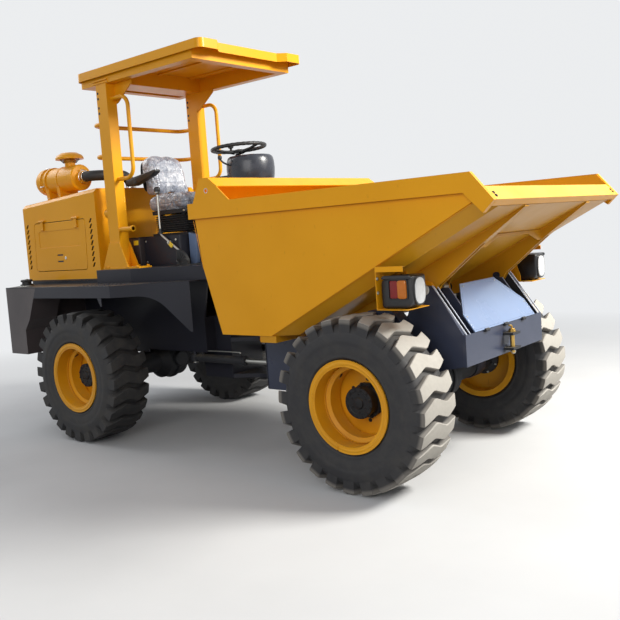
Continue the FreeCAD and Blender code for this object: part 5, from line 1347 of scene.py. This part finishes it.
form = Form("cast_dark", "zinc_steel")
ram(form, (940, 0, 575), (1330, 0, 1035), 45, 0.66, 24)
form.done("tip_barrel_fittings", "tip_barrel", 0.4)
for hand, side in (("right", -1), ("left", 1)):
    form = Form("cast_dark", "zinc_steel")
    ram(form, (-620, side * 262, 555), (160, side * 250, 555), 30, 0.66, 17)
    form.use(1)
    form.disc((-620, side * 262, 555), (0, 0, -1), 20, 28, 36, 24, 1.5)
    form.done(f"steer_barrel_fittings_{hand}", f"steer_barrel_{hand}", 0.4)
form = Form("zinc_steel", "brass_plate")
form.disc((0, 0, 716), (0, 0, 1), 40, 0, 4, 36, 1)
form.bolt((0, 0, 720), (0, 0, 1), 17)
form.use(1)
form.tube([(-46, 0, 700), (-46, 0, 709)], 4, 10)
form.disc((-46, 0, 709), (0, 0, 1), 5.5, 0, 5, 12, 1)
form.done("hinge_pin_cap", "rear_chassis", 0.6)

# Axles: cover bolts round the differential, spring seats with clamps, and the shaft's joints.
for name, x, body in (("front_axle_fittings", 1237, "front_chassis"), ("rear_axle_fittings", -1237, "rear_chassis")):
    form = Form("cast_dark", "zinc_steel", "dark_paint")
    for index in range(14):
        angle = 2 * math.pi * index / 14
        form.use(1)
        form.bolt((x + 132 * math.cos(angle), -90, 483.7 + 132 * math.sin(angle)), (0, -1, 0), 8, turn=index)
        form.bolt((x + 132 * math.cos(angle), 90, 483.7 + 132 * math.sin(angle)), (0, 1, 0), 8, turn=index)
    form.use(0)
    form.turned((x, 0, 483.7), (0, 1, 0), [(-14, 148), (-14, 160), (-10, 163), (10, 163), (14, 160), (14, 148)], 56)
    form.disc((x, 0, 483.7), (1 if x < 0 else -1, 0, 0), 62, 130, 176 if x < 0 else 149.4, 36, 5)
    for side in (-1, 1):
        form.use(2)
        form.turned((x, side * 480, 483.7), (0, 1, 0), [(-60, 78), (-60, 92), (-52, 95), (52, 95), (60, 92), (60, 78)], 36) if x > 0 else None
        form.use(1)
        for index in range(8):
            angle = 2 * math.pi * (index + 0.5) / 8
            form.bolt((x + 98 * math.cos(angle), side * 672, 483.7 + 98 * math.sin(angle)), (0, -side, 0), 8, turn=index)
    form.done(name, body, 0.8)
form = Form("cast_dark", "zinc_steel")
for start in (322, 1040):
    form.turned((start, 0, 483.7), (1, 0, 0), [(0, 0), (0, 52), (10, 52), (12, 40), (34, 38), (40, 31), (40, 0)] if start < 500 else
                [(0, 0), (0, 31), (6, 38), (28, 40), (30, 50), (39, 50), (39, 0)], 36)
    for index in range(4):
        angle = math.pi / 4 + index * math.pi / 2
        form.use(1)
        form.bolt((start + (10 if start < 500 else 30), 44 * math.cos(angle), 483.7 + 44 * math.sin(angle)), (1 if start < 500 else -1, 0, 0), 6)
        form.use(0)
form.done("driveshaft_joints", "front_chassis", 0.6)

# Rear: lamp lenses, reflectors, lifting eyes, edge strips on the fenders and the step plates' tread.
form = Form("lamp_unit", "lens_red", "lens_amber", "lens_clear", "reflector_yellow", "zinc_steel", "dark_paint", "weld_dark", "black_rubber")
for side in (-1, 1):
    form.use(4)
    low, high = sorted((side * 860, side * 862.0))
    form.side_plate(rounded([(-2122, 1046), (-2034, 1046), (-2034, 1146), (-2122, 1146)], 6), *sorted((side * 858.5, side * 859.9)))
    form.use(5)
    for x in (-2112, -2044):
        form.disc((x, side * 859.5, 1136), (0, side, 0), 4, 0, 0.45, 12, 0.1)
    form.use(6)
    form.side_plate([(-964, 1071), (-914, 1071), (-914, 1008), (-926, 1008)], *sorted((side * 848, side * 854)))
    form.use(8)
    form.tube([(-2156, side * 857, 1155.5), (-800, side * 857, 1155.5)], 2.4, 8)
    form.use(7)
    form.bead([(-1730, side * 857, 1146), (-802, side * 857, 1146)], 1.6)
    form.bead([(-800, side * 857, 1070), (-800, side * 857, 1146)], 2.4)
form.use(6)
for y in (-300, 300):
    form.turned((-2230, y, 1155), (0, 0, 1), [(0, 0), (0, 34), (4, 34), (6, 31), (6, 0)], 28)
form.use(7)
form.bead([(-2335, -515, 1149), (-2335, 515, 1149)], 2.2)
form.done("rear_fittings", "rear_chassis", 0.5)
form = Form("dark_paint", "black_rubber")
random.seed(5)
for side in (-1, 1):
    for row in range(5):
        for step in range(20):
            x = -1250 + step * 24 + (12 if row % 2 else 0)
            y = side * (640 + row * 40)
            if x > -815 - (row * 10):
                continue
            long = 12
            spread = 4
            turn = math.radians(45 if (step + row) % 2 else -45)
            ring = [(x + long * math.cos(turn + q) * (1 if k % 2 == 0 else spread / long), y + long * math.sin(turn + q) * (1 if k % 2 == 0 else spread / long), 1155)
                    for k, q in enumerate((0, math.pi / 2, math.pi, 3 * math.pi / 2))]
            form.skin([ring, [(x + (a - x) * 0.5, y + (b - y) * 0.5, 1157.2) for a, b, c in ring]])
form.done("deck_tread", "rear_chassis", 0)

# Rear lamps: a dark tray with three lenses of its own, flush with the weight's rear face.
form = Form("lamp_unit", "lens_red", "lens_amber", "lens_clear", "chrome")


def lens_ring(low, high, x, share, foot=968, top=1042):
    """A rounded outline of one lens at a place along the machine."""
    middle = (low + high) / 2
    level = (foot + top) / 2
    return [(x, middle + (y - middle) * share, level + (z - level) * share)
            for y, z in rounded([(low, foot), (high, foot), (high, top), (low, top)], 10, 4)]


for side in (-1, 1):
    low, high = sorted((side * 331.5, side * 468.5))
    form.use(0)
    form.skin([lens_ring(low, high, -2310.5, 1, 961.5, 1048.5), lens_ring(low, high, -2337, 1, 961.5, 1048.5),
               lens_ring(low, high, -2339.6, 0.985, 961.5, 1048.5), lens_ring(low, high, -2339.6, 0.93, 963.5, 1046.5),
               lens_ring(low, high, -2328, 0.92, 964, 1046)])
    for start, stop, index in ((0.0, 0.33, 2), (0.33, 0.7, 1), (0.7, 1.0, 3)):
        ends = sorted((side * (464 - 128 * start) - side * 1.2, side * (464 - 128 * stop) + side * 1.2))
        form.use(4)
        form.skin([lens_ring(*ends, -2328.4, 0.96), lens_ring(*ends, -2329, 0.8), lens_ring(*ends, -2328.6, 0.3)])
        form.use(index)
        form.skin([lens_ring(*ends, -2328, 1), lens_ring(*ends, -2336, 1), lens_ring(*ends, -2338.6, 0.95), lens_ring(*ends, -2339.5, 0.72)])
        for row in range(5):
            level = 980 + row * 12.5
            form.tube([(-2338.2, ends[0] + 6, level), (-2338.2, ends[1] - 6, level)], 1.3, 6)
piece = form.done("rear_lamp_units", "rear_chassis", 0.0)
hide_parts("rear_lamps")

# Filler cap: knurled rim, vent and a lock; a breather beside it.
form = Form("black_plastic", "zinc_steel")
knurl = []
for step in range(72):
    angle = 2 * math.pi * step / 72
    radius = 47.5 if step % 2 else 45.2
    knurl.append((-2100 + radius * math.cos(angle), -700 + radius * math.sin(angle)))
form.skin([[(x, y, 1193) for x, y in knurl], [(x, y, 1206) for x, y in knurl],
           [(-2100 + (x + 2100) * 0.9, -700 + (y + 700) * 0.9, 1210) for x, y in knurl]])
form.use(1)
form.disc((-2100, -700, 1213), (0, 0, 1), 12, -2, 2, 24, 0.6)
form.turned((-2100, -700, 1155.3), (0, 0, 1), [(-0.2, 40), (-0.2, 58), (4, 58), (6, 55), (6, 40)], 40)
for index in range(6):
    angle = math.pi * index / 3
    form.bolt((-2100 + 53 * math.cos(angle), -700 + 53 * math.sin(angle), 1161), (0, 0, 1), 3.5, washer=False)
form.done("filler_cap_trim", "rear_chassis", 0.3)


# Floor: pale, with the machine's shadow near it, and one with the background further off.

floor = new_mesh("floor", [(-40, -40, 0), (40, -40, 0), (40, 40, 0), (-40, 40, 0)], [(0, 1, 2, 3)])
ground = Maker("ground")
patch = ground.noise(1.2, 4)
ground_tone = ground.mix(ground.ramp(patch, 0.3, 0.7), srgb(206, 207, 209), srgb(200, 201, 203))
bounce = ground.add("ShaderNodeLightPath").outputs["Is Diffuse Ray"]
ground_tone = ground.mix(ground.math("MULTIPLY", bounce, 0.8), ground_tone, srgb(120, 118, 114))
floor.data.materials.append(ground.finish(ground_tone, ground.ramp(patch, 0.3, 0.7, 0.7, 0.85), ground.noise(60, 3), 0.1, 0.002))
far = ground.add("ShaderNodeVectorMath", operation="LENGTH")
ground.tree.links.new(ground.place, far.inputs[0])
ray = ground.add("ShaderNodeLightPath")
seen_ray = ground.math("MAXIMUM", ray.outputs["Is Camera Ray"],
                       ground.math("MAXIMUM", ray.outputs["Is Glossy Ray"], ray.outputs["Is Transmission Ray"]))
share = ground.math("MULTIPLY", seen_ray, ground.ramp(far.outputs["Value"], 2.6, 7.0))
glow = ground.add("ShaderNodeEmission")
glow.inputs["Color"].default_value = (0.93, 0.945, 0.96, 1)
glow.inputs["Strength"].default_value = 0.9
blend = ground.add("ShaderNodeMixShader")
ground.feed(share, blend, 0)
ground.tree.links.new(ground.shader.outputs[0], blend.inputs[1])
ground.tree.links.new(glow.outputs[0], blend.inputs[2])
surface = [node for node in ground.tree.nodes if node.type == "OUTPUT_MATERIAL"][0]
ground.tree.links.new(blend.outputs[0], surface.inputs[0])
